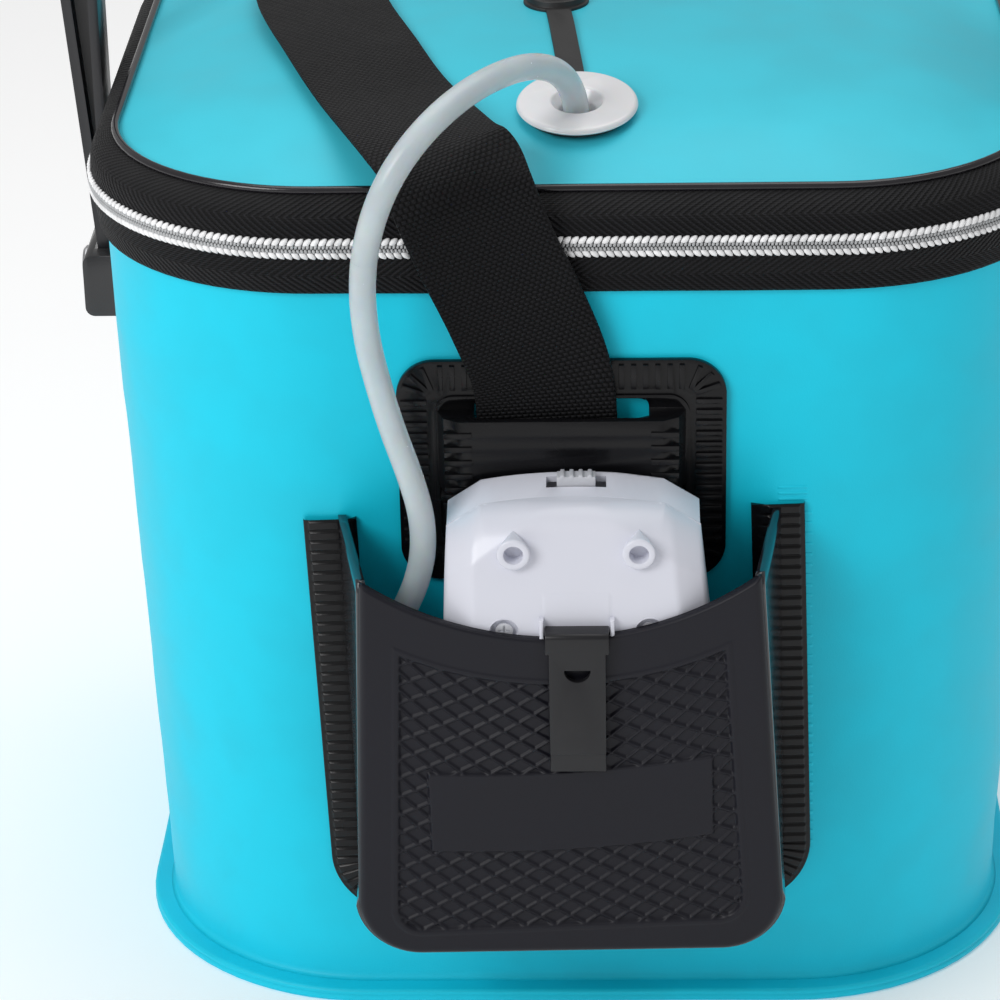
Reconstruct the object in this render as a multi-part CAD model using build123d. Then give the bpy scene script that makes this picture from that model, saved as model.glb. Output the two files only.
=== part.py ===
"""Aerated bait bucket: soft welded tub with a zipped lid, bail, pump pocket and air pump.

Millimetres. +Z up, the pocket faces -Y, and the origin is the centre of the underside.
Pieces on a wall are drawn in that wall's own plane: x across, y up the wall, z outwards.
"""
from build123d import *
import math
import os

os.makedirs("parts", exist_ok=True)

# ------------------------------------------------------------------ tub and zip
BODY_WIDTH = 280.0        # across the walls at the zip
BODY_DEPTH = 260.0        # front to back at the zip
ZIP_HEIGHT = 252.0        # middle of the zip above the floor
CORNER_RADIUS = 67.0
WALL = 2.2
WALL_LEAN = 7.6           # each wall stands this much further in at the floor
BASE_BOARD = 2.6
FOOT_LIP = 7.3            # welded lip all round the foot
LIP_THICKNESS = 2.0
RIM_DROP = 2.0            # the wall ends this far below the zip
BINDING_HEIGHT = 18.0
BINDING_THICKNESS = 1.2
SKIN_GAP = 0.3            # running gap between pieces that only lie together
FAR = 600.0               # longer than the whole object, for cutting blocks
ZIP_SPLIT = 0.4           # half the gap between the two zip halves
LOWER_TAPE_HEIGHT = 14.6
TAPE_PROUD = 3.0          # zip tape stands this far off the wall at the teeth
TAPE_FOOT_PROUD = 2.0
TEETH_PROUD = 1.2         # beyond the tape
TEETH_HEIGHT = 3.0        # each row
TEETH_BACK_STOP = 62.0    # the teeth end this far in front of the back wall

SLIDER_Y = -54.0
SLIDER_LENGTH = 14.0
SLIDER_PLATE = 1.6
PULL_WIDTH = 7.0
PULL_LENGTH = 26.0
PULL_PIN = 0.9
PULL_BARREL = 1.9

# ------------------------------------------------------------------ lid
LID_RIM = 16.4            # height of the lid's fabric side
LID_INSET = 3.4           # the panel's edge lies this far inside the wall line
LID_BELLY = 9.0           # height over the zip where the side starts to turn in
BELLY_PROUD = 2.0
TAPE_THICKNESS = 2.2
CROWN = 15.0              # rise of the domed panel
PANEL = 2.0
WELT_WIDTH = 2.2
WELT_HEIGHT = 2.1
HINGE_SPAN = 140.0        # fabric hinge along the straight of the back edge
HINGE_THICKNESS = 1.0
HINGE_HEIGHT = 17.0

# ------------------------------------------------------------------ grommet and tethered plug
GROMMET_X = 1.5
GROMMET_FROM_FRONT = 41.0
GROMMET_RADIUS = 17.5
GROMMET_DISC = 1.8
FUNNEL_DEPTH = 3.4
FUNNEL_RADIUS = 7.6
NECK_BORE = 5.4
NECK_RADIUS = 7.4
NECK_LENGTH = 9.0
NUT_RADIUS = 14.5
NUT_HEIGHT = 3.2
TETHER_THICKNESS = 1.3
TETHER_WIDTH = 7.6
TETHER_RING_RADIUS = 15.6
PLUG_RADIUS = 10.0
PLUG_REACH = 79.0         # grommet centre to plug centre
PLUG_ANGLE = 95.0         # tether direction on the lid, from +X
PLUG_STUD = 4.2
PLUG_STUD_HEIGHT = 6.0

# ------------------------------------------------------------------ strap patches and strap
PATCH_X = -3.6
PATCH_LOW = 146.5
PATCH_HIGH = 216.5
PATCH_WIDTH = 94.4
PATCH_RADIUS = 11.0
PATCH_PLATE = 1.8
PATCH_RIB = 1.0
PATCH_BORDER = 10.5
RIB_PITCH = 3.4
CORNER_RIB_TURN = 24.0
LOOP_WIDTH = 72.0         # the strap loop's bar
LOOP_LOW = 178.0
LOOP_HIGH = 201.5
LOOP_STANDOFF = 10.6
LOOP_WALL = 2.4
LOOP_RIDGES = 5           # across the front of each end of the bar
LOOP_RIDGE_PROUD = 0.7
SLOT_WIDTH = 50.0
SLOT_HIGH = 205.0
STRAP_WIDTH = 40.0
STRAP_THICKNESS = 1.6
ADJUSTER_HEIGHT = 22.0

# ------------------------------------------------------------------ pump pocket
POCKET_X = -3.6
POCKET_TOP = 166.0
POCKET_FLOOR = 44.0       # underside at the front wall
POCKET_WALL_FLOOR = 36.0  # underside at the tub wall
POCKET_DEPTH = 45.0
POCKET_SKIN = 2.4
POCKET_ROOT_WIDTH = 129.0
POCKET_FRONT_WIDTH = 126.0
POCKET_MOUTH_WIDTH = 112.0
POCKET_RADIUS = 19.0
MOUTH_DIP = 17.5          # the front wall dips this much in the middle
FLANGE_WIDTH = 146.0
FLANGE_LOW = 31.0
FLANGE_PLATE = 1.8
FLANGE_RADIUS = 22.0
FLANGE_TAPER = 0.5        # narrower at its foot, each side
FLANGE_SLAT = 2.7         # width of the flat slats between its weld grooves
FLANGE_RIB = 0.7
PANEL_BORDER = 1.3        # raised frame round the lattice
PANEL_INSET = 8.5
PANEL_TOP_GAP = 12.0
PANEL_RADIUS = 9.0
LATTICE_RISE = 0.8
LATTICE_WIDTH = 12.6      # one diamond, side to side
LATTICE_SLOPE = 38.0
LATTICE_BAR = 1.4
LABEL_WIDTH = 81.0
LABEL_LOW = 80.5
LABEL_HIGH = 106.0
LABEL_SAG = 2.2           # its edges sag like the mouth

# ------------------------------------------------------------------ pump
PUMP_X = 0.6
PUMP_WIDTH = 76.0
PUMP_TOP = 187.4
PUMP_HEIGHT = 106.0
PUMP_DEPTH = 30.0
PUMP_SHELL = 1.8
PUMP_CROWN = 2.4          # arch of the top edge
PUMP_CORNER_X = 10.0
PUMP_CORNER_Y = 6.5
PUMP_BEVEL = 6.0
FACE_BREAK = 157.0        # the outer face leans back above this height
FACE_LEAN = 0.2           # by this share of the height
TOP_ROUND = 4.5
SPLIT_FROM_BACK = 13.0    # parting line, from the side that faces the tub
BOSS_X = 17.6
BOSS_Y = 175.2
BOSS_RADIUS = 4.6
BOSS_BORE = 2.7
BOSS_DEPTH = 4.0          # of its blind hole
BOSS_RISE = 0.6           # beyond the flat part of the face
FAIRING_LENGTH = 9.0
SCREW_X = 20.6
SCREW_Y = 151.0
SCREW_RECESS = 3.6
SCREW_RADIUS = 1.5
SCREW_HEAD = 2.5
CELL_RADIUS = 7.2         # AA cells
CELL_LENGTH = 50.0
CELL_PITCH = 15.2
HATCH_WIDTH = 2 * CELL_PITCH + 6.0
HATCH_HEIGHT = 69.0
MOTOR_RADIUS = 8.0
MOTOR_LENGTH = 22.0
MOTOR_X = -7.6
MOTOR_Y = 165.0
SHAFT_RADIUS = 1.0
SHAFT_FIT = 0.05
CRANK_WHEEL = 5.5
CRANK_THROW = 3.0
CRANK_PIN = 1.2
CHAMBER_X = -28.0
CHAMBER_HEIGHT = 20.0
CUP_HEIGHT = 4.0
NOZZLE_Y = 118.0
NOZZLE_BORE = 1.5
NOZZLE_RADIUS = 2.4
NOZZLE_LENGTH = 7.0
CLIP_WIDTH = 16.0
CLIP_BEND_WIDTH = 18.0
CLIP_BEND_DROP = 6.3      # the wide bend reaches this far down
CLIP_THICKNESS = 1.8
CLIP_TOP = 149.6
CLIP_LOW = 108.0
CLIP_TIP = 6.0            # length of its thinned end
CLIP_HOLE_RADIUS = 3.7
CLIP_HOLE_DROP = 11.4     # from its top to the flat side of the half-round hole

# ------------------------------------------------------------------ hose and stone
HOSE_RADIUS = 3.75
STONE_RADIUS = 8.0
STONE_LENGTH = 30.0

# ------------------------------------------------------------------ bail and its brackets
PIVOT_HEIGHT = 194.5
PIN_RADIUS = 4.0
PIN_FIT = 0.05
HUB_RADIUS = 9.5
HUB_INNER_X = 144.4
HUB_OUTER_X = 150.6
HUB_ROOM = 0.8
PIN_TAIL = 2.5            # the pin ends this far past the hub
BAIL_TOP = 398.0
BAIL_SPREAD = 161.0       # outer half width where the arms meet the arch
BAIL_DEPTH = 15.0
BAIL_WIDTH = 18.0         # front to back
BAIL_WEB = 5.0
BAIL_FLANGE = 3.0
BAIL_RADIUS = 65.0
ARM_CLEAR_X = 146.4       # the arms pass the zip this far out
GRIP_LENGTH = 112.0
GRIP_WIDTH = 26.0
GRIP_HEIGHT = 22.0
BRACKET_PLATE = 2.0
BRACKET_WIDTH = 58.0
BRACKET_HEIGHT = 66.0
ARM_ROOM = 1.6            # the arm flares inside the housing
HOUSING_WIDTH = 34.0
HOUSING_OUTER_X = 155.4
HOUSING_DROP = 10.6       # below the pivot
HOUSING_RISE = 9.8        # above it

wall_angle = math.degrees(math.atan(WALL_LEAN / ZIP_HEIGHT))
lean_sin = math.sin(math.radians(wall_angle))
lean_cos = math.cos(math.radians(wall_angle))
lid_low = ZIP_HEIGHT + ZIP_SPLIT
lid_edge = lid_low + LID_RIM
tub_rim = ZIP_HEIGHT - RIM_DROP
grommet_y = GROMMET_FROM_FRONT - BODY_DEPTH / 2

front_wall = Plane(
    origin=(0, WALL_LEAN - BODY_DEPTH / 2, 0), x_dir=(1, 0, 0), z_dir=(0, -lean_cos, -lean_sin)
)
back_wall = Plane(
    origin=(0, BODY_DEPTH / 2 - WALL_LEAN, 0), x_dir=(-1, 0, 0), z_dir=(0, lean_cos, -lean_sin)
)


# ================================================================== shared shapes
def outline(height, grow=0.0):
    """Rounded rectangle of the tub's outer wall at a height, made larger by grow."""
    lean_in = WALL_LEAN * (1 - height / ZIP_HEIGHT)
    return Plane.XY.offset(height) * RectangleRounded(
        BODY_WIDTH - 2 * lean_in + 2 * grow,
        BODY_DEPTH - 2 * lean_in + 2 * grow,
        CORNER_RADIUS + grow,
    )


def straight_outline(height, grow):
    """Rounded rectangle of the zip line, made larger by grow, at a height of the lid."""
    return Plane.XY.offset(height) * RectangleRounded(
        BODY_WIDTH + 2 * grow, BODY_DEPTH + 2 * grow, CORNER_RADIUS + grow
    )


def tub_solid(levels):
    """Solid through the tub's outline at (height, grow) levels."""
    return loft([outline(height, grow).face() for height, grow in levels], ruled=True)


def lid_solid(levels):
    """Solid through the lid's outline at (height, grow) levels."""
    return loft([straight_outline(height, grow).face() for height, grow in levels], ruled=True)


def dome(rise_offset):
    """Domed top of the lid panel, raised by rise_offset, on a block that reaches below it."""
    width = BODY_WIDTH - 2 * LID_INSET
    depth = BODY_DEPTH - 2 * LID_INSET
    radius = CORNER_RADIUS - LID_INSET
    sections = []
    for share in (1.0, 0.86, 0.7, 0.5, 0.25):
        height = lid_edge + rise_offset + CROWN * (1 - share**2)
        sections.append(
            (
                Plane.XY.offset(height)
                * RectangleRounded(share * width, share * depth, share * radius)
            ).face()
        )
    block = extrude(sections[0], -8.0)
    return block + loft(sections, ruled=True)


def rounded_band(low, high, half_low, half_high, radius):
    """Face with a straight top and two rounded lower corners, centred on x = 0."""
    points = [(-half_high, high), (-half_low, low), (half_low, low), (half_high, high)]
    face = make_face(Polyline(*points, close=True))
    corners = face.vertices().sort_by(Axis.Y)[:2]
    return fillet(corners, radius)


def save(part, node):
    """Write one node, as its solids."""
    solids = part.solids()
    shape = solids[0] if len(solids) == 1 else Compound(children=list(solids))
    export_step(shape, f"parts/{node}.step")


# ================================================================== tub
def make_tub():
    """Tapered wall with an outward lip at its foot, open at both ends."""
    wall = tub_solid([(BASE_BOARD, 0), (tub_rim, 0)])
    inside = tub_solid([(BASE_BOARD, -WALL), (tub_rim, -WALL)])
    lip = extrude(outline(BASE_BOARD, FOOT_LIP), LIP_THICKNESS) - inside
    return (wall - inside) + lip


def make_base_board():
    """Stiff floor board, as wide as the lip that is welded to it."""
    board = extrude(outline(0, FOOT_LIP), BASE_BOARD)
    return chamfer(board.faces().sort_by(Axis.Z)[0].edges(), 0.6)


def make_rim_binding():
    """Fabric binding inside the tub's rim."""
    low = tub_rim - BINDING_HEIGHT
    outer = tub_solid([(low, -WALL), (tub_rim, -WALL)])
    return outer - tub_solid([(low, -WALL - BINDING_THICKNESS), (tub_rim, -WALL - BINDING_THICKNESS)])


def tape_levels_lower():
    """Outer levels of the lower zip tape."""
    low = ZIP_HEIGHT - LOWER_TAPE_HEIGHT
    high = ZIP_HEIGHT - ZIP_SPLIT
    full = high - TEETH_HEIGHT
    return [(low, TAPE_FOOT_PROUD), (full, TAPE_PROUD), (high, TAPE_PROUD)]


def make_lower_tape():
    """Zip tape round the tub, flush on the wall."""
    levels = tape_levels_lower()
    core = tub_solid([(levels[0][0], 0), (levels[-1][0], 0)])
    return tub_solid(levels) - core


def tape_levels_upper(inset=0.0):
    """Outer levels of the lid's fabric side, moved in by inset."""
    return [
        (lid_low, TAPE_PROUD - inset),
        (lid_low + TEETH_HEIGHT, TAPE_PROUD - inset),
        (lid_low + LID_BELLY, BELLY_PROUD - inset),
        (lid_edge, TAPE_THICKNESS - LID_INSET - inset),
    ]


def teeth_cutter():
    """Region behind which the zip has no teeth."""
    start = BODY_DEPTH / 2 - TEETH_BACK_STOP
    return Pos(0, start + BODY_DEPTH / 2, ZIP_HEIGHT) * Box(2 * BODY_WIDTH, BODY_DEPTH, 60)


def make_teeth(low, high, solid_of):
    """Bead of coil teeth on the outside of a tape, between two heights."""
    bead = solid_of([(low, TAPE_PROUD + TEETH_PROUD), (high, TAPE_PROUD + TEETH_PROUD)])
    bead -= solid_of([(low, TAPE_PROUD), (high, TAPE_PROUD)])
    return bead - teeth_cutter()


# ================================================================== lid
def make_lid_panel():
    """Domed panel with a skirt, bored for the grommet."""
    skirt = lid_solid(tape_levels_upper(TAPE_THICKNESS))
    hollow = lid_solid(tape_levels_upper(TAPE_THICKNESS + PANEL))
    shell = (skirt - hollow) + (dome(0) - dome(-PANEL))
    low_cut = lid_solid([(lid_edge - 20, -LID_INSET - PANEL), (lid_edge - PANEL, -LID_INSET - PANEL)])
    shell -= low_cut
    bore = grommet_plane * Cylinder(NECK_RADIUS + 0.05, 40)
    return shell - bore


def make_upper_tape():
    """Fabric side of the lid, which rolls in to the welt."""
    return lid_solid(tape_levels_upper()) - lid_solid(tape_levels_upper(TAPE_THICKNESS))


def make_welt():
    """Glossy piping over the seam between the fabric and the panel."""
    top = lid_edge + WELT_HEIGHT
    outer = lid_solid([(lid_edge, WELT_WIDTH - LID_INSET), (top, WELT_WIDTH - LID_INSET)])
    outer -= lid_solid([(lid_edge, -LID_INSET), (top, -LID_INSET)])
    return chamfer(outer.faces().sort_by(Axis.Z)[-1].edges(), WELT_WIDTH * 0.3)


def make_hinge_tape():
    """Fabric hinge that joins the two tapes along the back."""
    y = BODY_DEPTH / 2 + TAPE_PROUD + SKIN_GAP + HINGE_THICKNESS / 2
    strip = Pos(0, y, ZIP_HEIGHT) * Box(HINGE_SPAN, HINGE_THICKNESS, HINGE_HEIGHT)
    return strip


# ================================================================== grommet
def find_grommet_plane():
    """Seat of the grommet: on the dome, square to its surface."""
    hits = dome(0).find_intersection_points(Axis((GROMMET_X, grommet_y, 0), (0, 0, 1)))
    point, normal = max(hits, key=lambda hit: hit[0].Z)
    return Plane(origin=point, x_dir=(1, 0, 0), z_dir=normal)


def make_grommet():
    """Disc with a funnel mouth and a neck through the lid."""
    bottom = TETHER_THICKNESS + 2 * SKIN_GAP
    disc = Pos(0, 0, bottom + GROMMET_DISC / 2) * Cylinder(GROMMET_RADIUS, GROMMET_DISC)
    disc = chamfer(disc.edges().sort_by(Axis.Z)[-1], GROMMET_DISC * 0.5)
    neck_low = bottom - NECK_LENGTH
    neck = Pos(0, 0, (bottom + neck_low) / 2) * Cylinder(NECK_RADIUS - 0.05, bottom - neck_low)
    top = bottom + GROMMET_DISC
    funnel = Pos(0, 0, top - FUNNEL_DEPTH / 2) * Cone(NECK_BORE, FUNNEL_RADIUS, FUNNEL_DEPTH)
    bore = Cylinder(NECK_BORE, FAR)
    return grommet_plane * (disc + neck - funnel - bore)


def make_grommet_nut():
    """Ring nut on the neck, under the panel."""
    top = -PANEL - SKIN_GAP - 0.3
    nut = Pos(0, 0, top - NUT_HEIGHT / 2) * Cylinder(NUT_RADIUS, NUT_HEIGHT)
    nut = chamfer(nut.edges().sort_by(Axis.Z)[0], 0.8)
    nut -= Cylinder(NECK_RADIUS - 0.05, 40)
    for turn in range(8):
        notch = Rot(0, 0, 45 * turn) * Pos(NUT_RADIUS, 0, top - NUT_HEIGHT / 2)
        nut -= notch * Cylinder(1.4, NUT_HEIGHT * 2)
    return grommet_plane * nut


def make_plug_tether():
    """Rubber ring, strap and plug in one moulding, lying on the dome."""
    seat = Pos(grommet_plane.origin.X, grommet_plane.origin.Y, 0)
    strap_centre = PLUG_REACH / 2
    turn = Rot(0, 0, PLUG_ANGLE)
    flat = seat * Circle(TETHER_RING_RADIUS)
    flat += seat * turn * Pos(strap_centre, 0) * Rectangle(PLUG_REACH, TETHER_WIDTH)
    flat += seat * turn * Pos(PLUG_REACH, 0) * Circle(PLUG_RADIUS)
    flat -= seat * Circle(NECK_RADIUS + 1.0)
    prism = Pos(0, 0, lid_edge) * extrude(flat, CROWN + 20)
    sheet = prism & (dome(SKIN_GAP + TETHER_THICKNESS) - dome(SKIN_GAP))
    end = seat * turn * Pos(PLUG_REACH, 0)
    hits = dome(SKIN_GAP).find_intersection_points(
        Axis((end.position.X, end.position.Y, 0), (0, 0, 1))
    )
    height = max(hit[0].Z for hit in hits)
    cap = Pos(end.position.X, end.position.Y, height + 1.6) * Cylinder(PLUG_RADIUS - 1.0, 3.2)
    stud = Pos(end.position.X, end.position.Y, height + 3.0 + PLUG_STUD_HEIGHT / 2) * Cylinder(
        PLUG_STUD, PLUG_STUD_HEIGHT
    )
    stud = chamfer(stud.edges().sort_by(Axis.Z)[-1], 1.0)
    return sheet + cap + stud


# ================================================================== strap patch
def rib_row(start, end, fixed, along_y, length, width, rise, floor):
    """Row of weld ribs at RIB_PITCH between two places on one side of a patch."""
    count = int(abs(end - start) // RIB_PITCH)
    ribs = []
    for index in range(count):
        place = start + (index + 0.5) * (end - start) / count
        where = Pos(fixed, place) if along_y else Pos(place, fixed)
        size = (length, width) if along_y else (width, length)
        ribs.append(where * Pos(0, 0, floor + rise / 2) * Box(size[0], size[1], rise))
    return ribs


def make_strap_patch():
    """Moulded patch: ribbed weld border, open slot and a raised loop for the strap."""
    height = PATCH_HIGH - PATCH_LOW
    middle = (PATCH_HIGH + PATCH_LOW) / 2
    plate = Pos(0, middle) * extrude(
        RectangleRounded(PATCH_WIDTH, height, PATCH_RADIUS), PATCH_PLATE
    )
    rail_width = PATCH_WIDTH - 2 * PATCH_BORDER
    rail_height = height - 2 * PATCH_BORDER
    rail = RectangleRounded(rail_width, rail_height, 6) - RectangleRounded(
        rail_width - 3, rail_height - 3, 4.5
    )
    plate += Pos(0, middle, PATCH_PLATE) * extrude(rail, PATCH_RIB)
    half = PATCH_WIDTH / 2
    rib_length = PATCH_BORDER - 3.0
    for side in (-1, 1):
        x = side * (half - 1.2 - rib_length / 2)
        low, high = PATCH_LOW + PATCH_RADIUS, PATCH_HIGH - PATCH_RADIUS
        for rib in rib_row(low, high, x, True, rib_length, 1.5, PATCH_RIB, PATCH_PLATE):
            plate += rib
        y = middle + side * (height / 2 - 1.2 - rib_length / 2)
        low, high = -half + PATCH_RADIUS, half - PATCH_RADIUS
        for rib in rib_row(low, high, y, False, rib_length, 1.5, PATCH_RIB, PATCH_PLATE):
            plate += rib
    for corner in range(4):
        side_x, side_y = (1, 1, -1, -1)[corner], (1, -1, -1, 1)[corner]
        centre = Pos(side_x * (half - PATCH_RADIUS), middle + side_y * (height / 2 - PATCH_RADIUS))
        for step in (1, 2, 3):
            fan = Rot(0, 0, math.degrees(math.atan2(side_y, side_x)) + (step - 2) * CORNER_RIB_TURN)
            reach = PATCH_RADIUS - 1.2 - rib_length / 2
            rib = Pos(reach, 0, PATCH_PLATE + PATCH_RIB / 2) * Box(rib_length, 1.4, PATCH_RIB)
            plate += centre * fan * rib
    loop_height = LOOP_HIGH - LOOP_LOW
    slot_high, slot_low = SLOT_HIGH, LOOP_LOW - 6.0
    slot = Pos(0, (slot_high + slot_low) / 2) * Box(SLOT_WIDTH, slot_high - slot_low, 20)
    plate -= fillet(slot.edges().filter_by(Axis.Z), 3)
    # the bar is a bridge profile in plan, drawn across the patch and pushed up it
    half_bar = LOOP_WIDTH / 2
    foot = PATCH_PLATE
    rise = LOOP_STANDOFF
    outer = make_face(
        Polyline(
            (-half_bar, foot), (-half_bar + 2.5, rise - 2.5), (-half_bar + 7, rise),
            (half_bar - 7, rise), (half_bar - 2.5, rise - 2.5), (half_bar, foot), close=True,
        )
    )
    inner_half = SLOT_WIDTH / 2
    inner = make_face(
        Polyline(
            (-inner_half, foot - 1), (-inner_half, rise - LOOP_WALL - 1.5),
            (-inner_half + 3, rise - LOOP_WALL), (inner_half - 3, rise - LOOP_WALL),
            (inner_half, rise - LOOP_WALL - 1.5), (inner_half, foot - 1), close=True,
        )
    )
    bridge_plane = Plane(origin=(0, LOOP_LOW, 0), x_dir=(1, 0, 0), z_dir=(0, 1, 0))
    # in this plane y runs into the wall, so the profile is mirrored outwards
    profile = mirror(outer - inner, about=Plane.XZ)
    bridge = bridge_plane * extrude(profile, loop_height)
    pillar_x = (half_bar + inner_half) / 2
    pillar_width = half_bar - inner_half
    ridges = []
    for side in (-1, 1):
        for step in range(4):
            ridge_rise = rise - 3.0 - 1.1 * step
            y = LOOP_LOW - 2.0 - 3.2 * step
            ridges.append(
                Pos(side * (pillar_x - 0.6 * step), y, foot + (ridge_rise - foot) / 2)
                * Box(pillar_width - 2.4, 2.0, ridge_rise - foot)
            )
        for step in range(LOOP_RIDGES):
            y = LOOP_LOW + (step + 0.5) * (loop_height - 2.0) / LOOP_RIDGES
            ridges.append(
                Pos(side * (pillar_x - 1.0), y, rise + LOOP_RIDGE_PROUD - LOOP_WALL / 2)
                * Box(pillar_width - 3.0, 1.7, LOOP_WALL)
            )
    patch = plate + bridge
    for ridge in ridges:
        patch += ridge
    return Pos(PATCH_X, 0, 0) * patch


# ================================================================== pocket
def pocket_solid(shrink, low_extra):
    """Outer form of the pocket, drawn in by shrink on the sides and the front."""
    sections = []
    for depth, width, floor in (
        (0.0, POCKET_ROOT_WIDTH, POCKET_WALL_FLOOR),
        (POCKET_DEPTH - shrink, POCKET_FRONT_WIDTH, POCKET_FLOOR),
    ):
        narrow = (POCKET_FRONT_WIDTH - POCKET_MOUTH_WIDTH) / 2 if depth else 0.0
        half_low = width / 2 - shrink
        face = rounded_band(
            floor + low_extra, POCKET_TOP + 12, half_low, half_low - narrow, POCKET_RADIUS - shrink
        )
        sections.append((Pos(0, 0, depth) * face).face())
    return loft(sections, ruled=True)


# the mouth of the front wall is an arc through its two top corners
mouth_radius = ((POCKET_MOUTH_WIDTH / 2) ** 2 + MOUTH_DIP**2) / (2 * MOUTH_DIP)
mouth_centre = POCKET_TOP - MOUTH_DIP + mouth_radius


def lattice_region(inset):
    """Area of the lattice on the pocket's front, under the dipped mouth, drawn in by inset."""
    low = POCKET_FLOOR + PANEL_INSET + inset
    width = POCKET_FRONT_WIDTH - 2 * PANEL_INSET - 2 * inset
    block = Pos(0, (low + POCKET_TOP) / 2) * RectangleRounded(
        width, POCKET_TOP - low, PANEL_RADIUS - inset
    )
    return block - Pos(0, mouth_centre) * Circle(mouth_radius + PANEL_TOP_GAP + inset)


def lattice_sketch():
    """Raised frame, crossing lattice bars and the plain label plate."""
    frame = lattice_region(0) - lattice_region(PANEL_BORDER)
    half = LABEL_WIDTH / 2
    ends = LABEL_LOW + LABEL_SAG, LABEL_HIGH + LABEL_SAG
    label = make_face([
        ThreePointArc((-half, ends[0]), (0, LABEL_LOW), (half, ends[0])),
        Line((half, ends[0]), (half, ends[1])),
        ThreePointArc((half, ends[1]), (0, LABEL_HIGH), (-half, ends[1])),
        Line((-half, ends[1]), (-half, ends[0])),
    ])
    pitch = LATTICE_WIDTH * math.sin(math.radians(LATTICE_SLOPE))
    count = int(POCKET_FRONT_WIDTH / pitch)
    middle = Pos(0, (POCKET_FLOOR + POCKET_TOP) / 2)
    bars = []
    for side in (-1, 1):
        turn = Rot(0, 0, side * LATTICE_SLOPE)
        for index in range(-count, count + 1):
            bars.append(middle * turn * Pos(0, index * pitch) * Rectangle(FAR, LATTICE_BAR))
    grid = Sketch() + bars
    return frame + label + (grid & lattice_region(PANEL_BORDER / 2))


def make_pocket():
    """Moulded pocket: ribbed weld flange, sloped gussets, dipped mouth, lattice front."""
    flange_face = rounded_band(
        FLANGE_LOW, POCKET_TOP, FLANGE_WIDTH / 2 - FLANGE_TAPER, FLANGE_WIDTH / 2, FLANGE_RADIUS
    )
    flange = extrude(flange_face, FLANGE_PLATE)
    outer = pocket_solid(0, 0)
    inner = pocket_solid(POCKET_SKIN, POCKET_SKIN)
    above = Pos(0, POCKET_TOP + FAR / 2) * Box(FAR, FAR, FAR)
    mouth = Pos(0, mouth_centre, POCKET_DEPTH) * Cylinder(mouth_radius, 2 * (POCKET_SKIN + 3.0))
    pocket = (outer + flange) - inner - above - mouth
    # slats up both sides
    rib_length = (FLANGE_WIDTH - POCKET_ROOT_WIDTH) / 2 - 1.5
    for side in (-1, 1):
        x = side * (FLANGE_WIDTH / 2 - 1.6 - rib_length / 2)
        low = FLANGE_LOW + FLANGE_RADIUS
        for slat in rib_row(
            low, POCKET_TOP - 1, x, True, rib_length, FLANGE_SLAT, FLANGE_RIB, FLANGE_PLATE
        ):
            pocket += slat
    pocket += Pos(0, 0, POCKET_DEPTH) * extrude(lattice_sketch(), LATTICE_RISE)
    return Pos(POCKET_X, 0, 0) * pocket


# ================================================================== pump
def pump_profile(inset):
    """Front view of the pump: arched top, cut upper corners, rounded foot."""
    half = PUMP_WIDTH / 2 - inset
    top = PUMP_TOP - PUMP_CROWN - inset
    low = PUMP_TOP - PUMP_HEIGHT + inset
    cut_x, cut_y = PUMP_CORNER_X, PUMP_CORNER_Y
    edge = [
        Line((-half, low), (half, low)),
        Line((half, low), (half, top - cut_y)),
        Line((half, top - cut_y), (half - cut_x, top)),
        ThreePointArc((half - cut_x, top), (0, top + PUMP_CROWN), (-half + cut_x, top)),
        Line((-half + cut_x, top), (-half, top - cut_y)),
        Line((-half, top - cut_y), (-half, low)),
    ]
    face = make_face(edge)
    return fillet(face.vertices().sort_by(Axis.Y)[:2], 8 - inset)


pump_back = POCKET_DEPTH - POCKET_SKIN - SKIN_GAP - PUMP_DEPTH     # side that faces the tub
pump_face = pump_back + PUMP_DEPTH
pump_split = pump_back + SPLIT_FROM_BACK
pump_low = PUMP_TOP - PUMP_HEIGHT


def pump_form(inset):
    """Form of the pump drawn in by inset: bevelled sides and a face that leans back at the top."""
    depth = PUMP_DEPTH - 2 * inset
    form = Pos(0, 0, pump_back + inset) * extrude(pump_profile(inset), depth)
    face = form.faces().sort_by(Axis.Z)[-1]
    form = chamfer(face.edges().filter_by(Axis.Y), PUMP_BEVEL * 0.5, PUMP_BEVEL)
    level = pump_face - inset
    rise = PUMP_TOP + TOP_ROUND - FACE_BREAK
    wedge = make_face(
        Polyline(
            (FACE_BREAK, level), (FACE_BREAK + rise, level), (FACE_BREAK + rise, level - FACE_LEAN * rise),
            close=True,
        )
    )
    across = Plane(origin=(-PUMP_WIDTH, 0, 0), x_dir=(0, 1, 0), z_dir=(1, 0, 0))
    form -= across * extrude(wedge, 2 * PUMP_WIDTH)
    leaning = form.faces().filter_by(lambda side: side.normal_at().Z > 0.95).sort_by(Axis.Y)[-1]
    return fillet(leaning.edges().sort_by(Axis.Y)[-1], TOP_ROUND - inset * 0.5)


def pump_body():
    """Whole outer form of the pump, before it is parted and hollowed."""
    body = pump_form(0)
    rear_face = body.faces().sort_by(Axis.Z)[0]
    return fillet(rear_face.edges(), 2.0)


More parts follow.
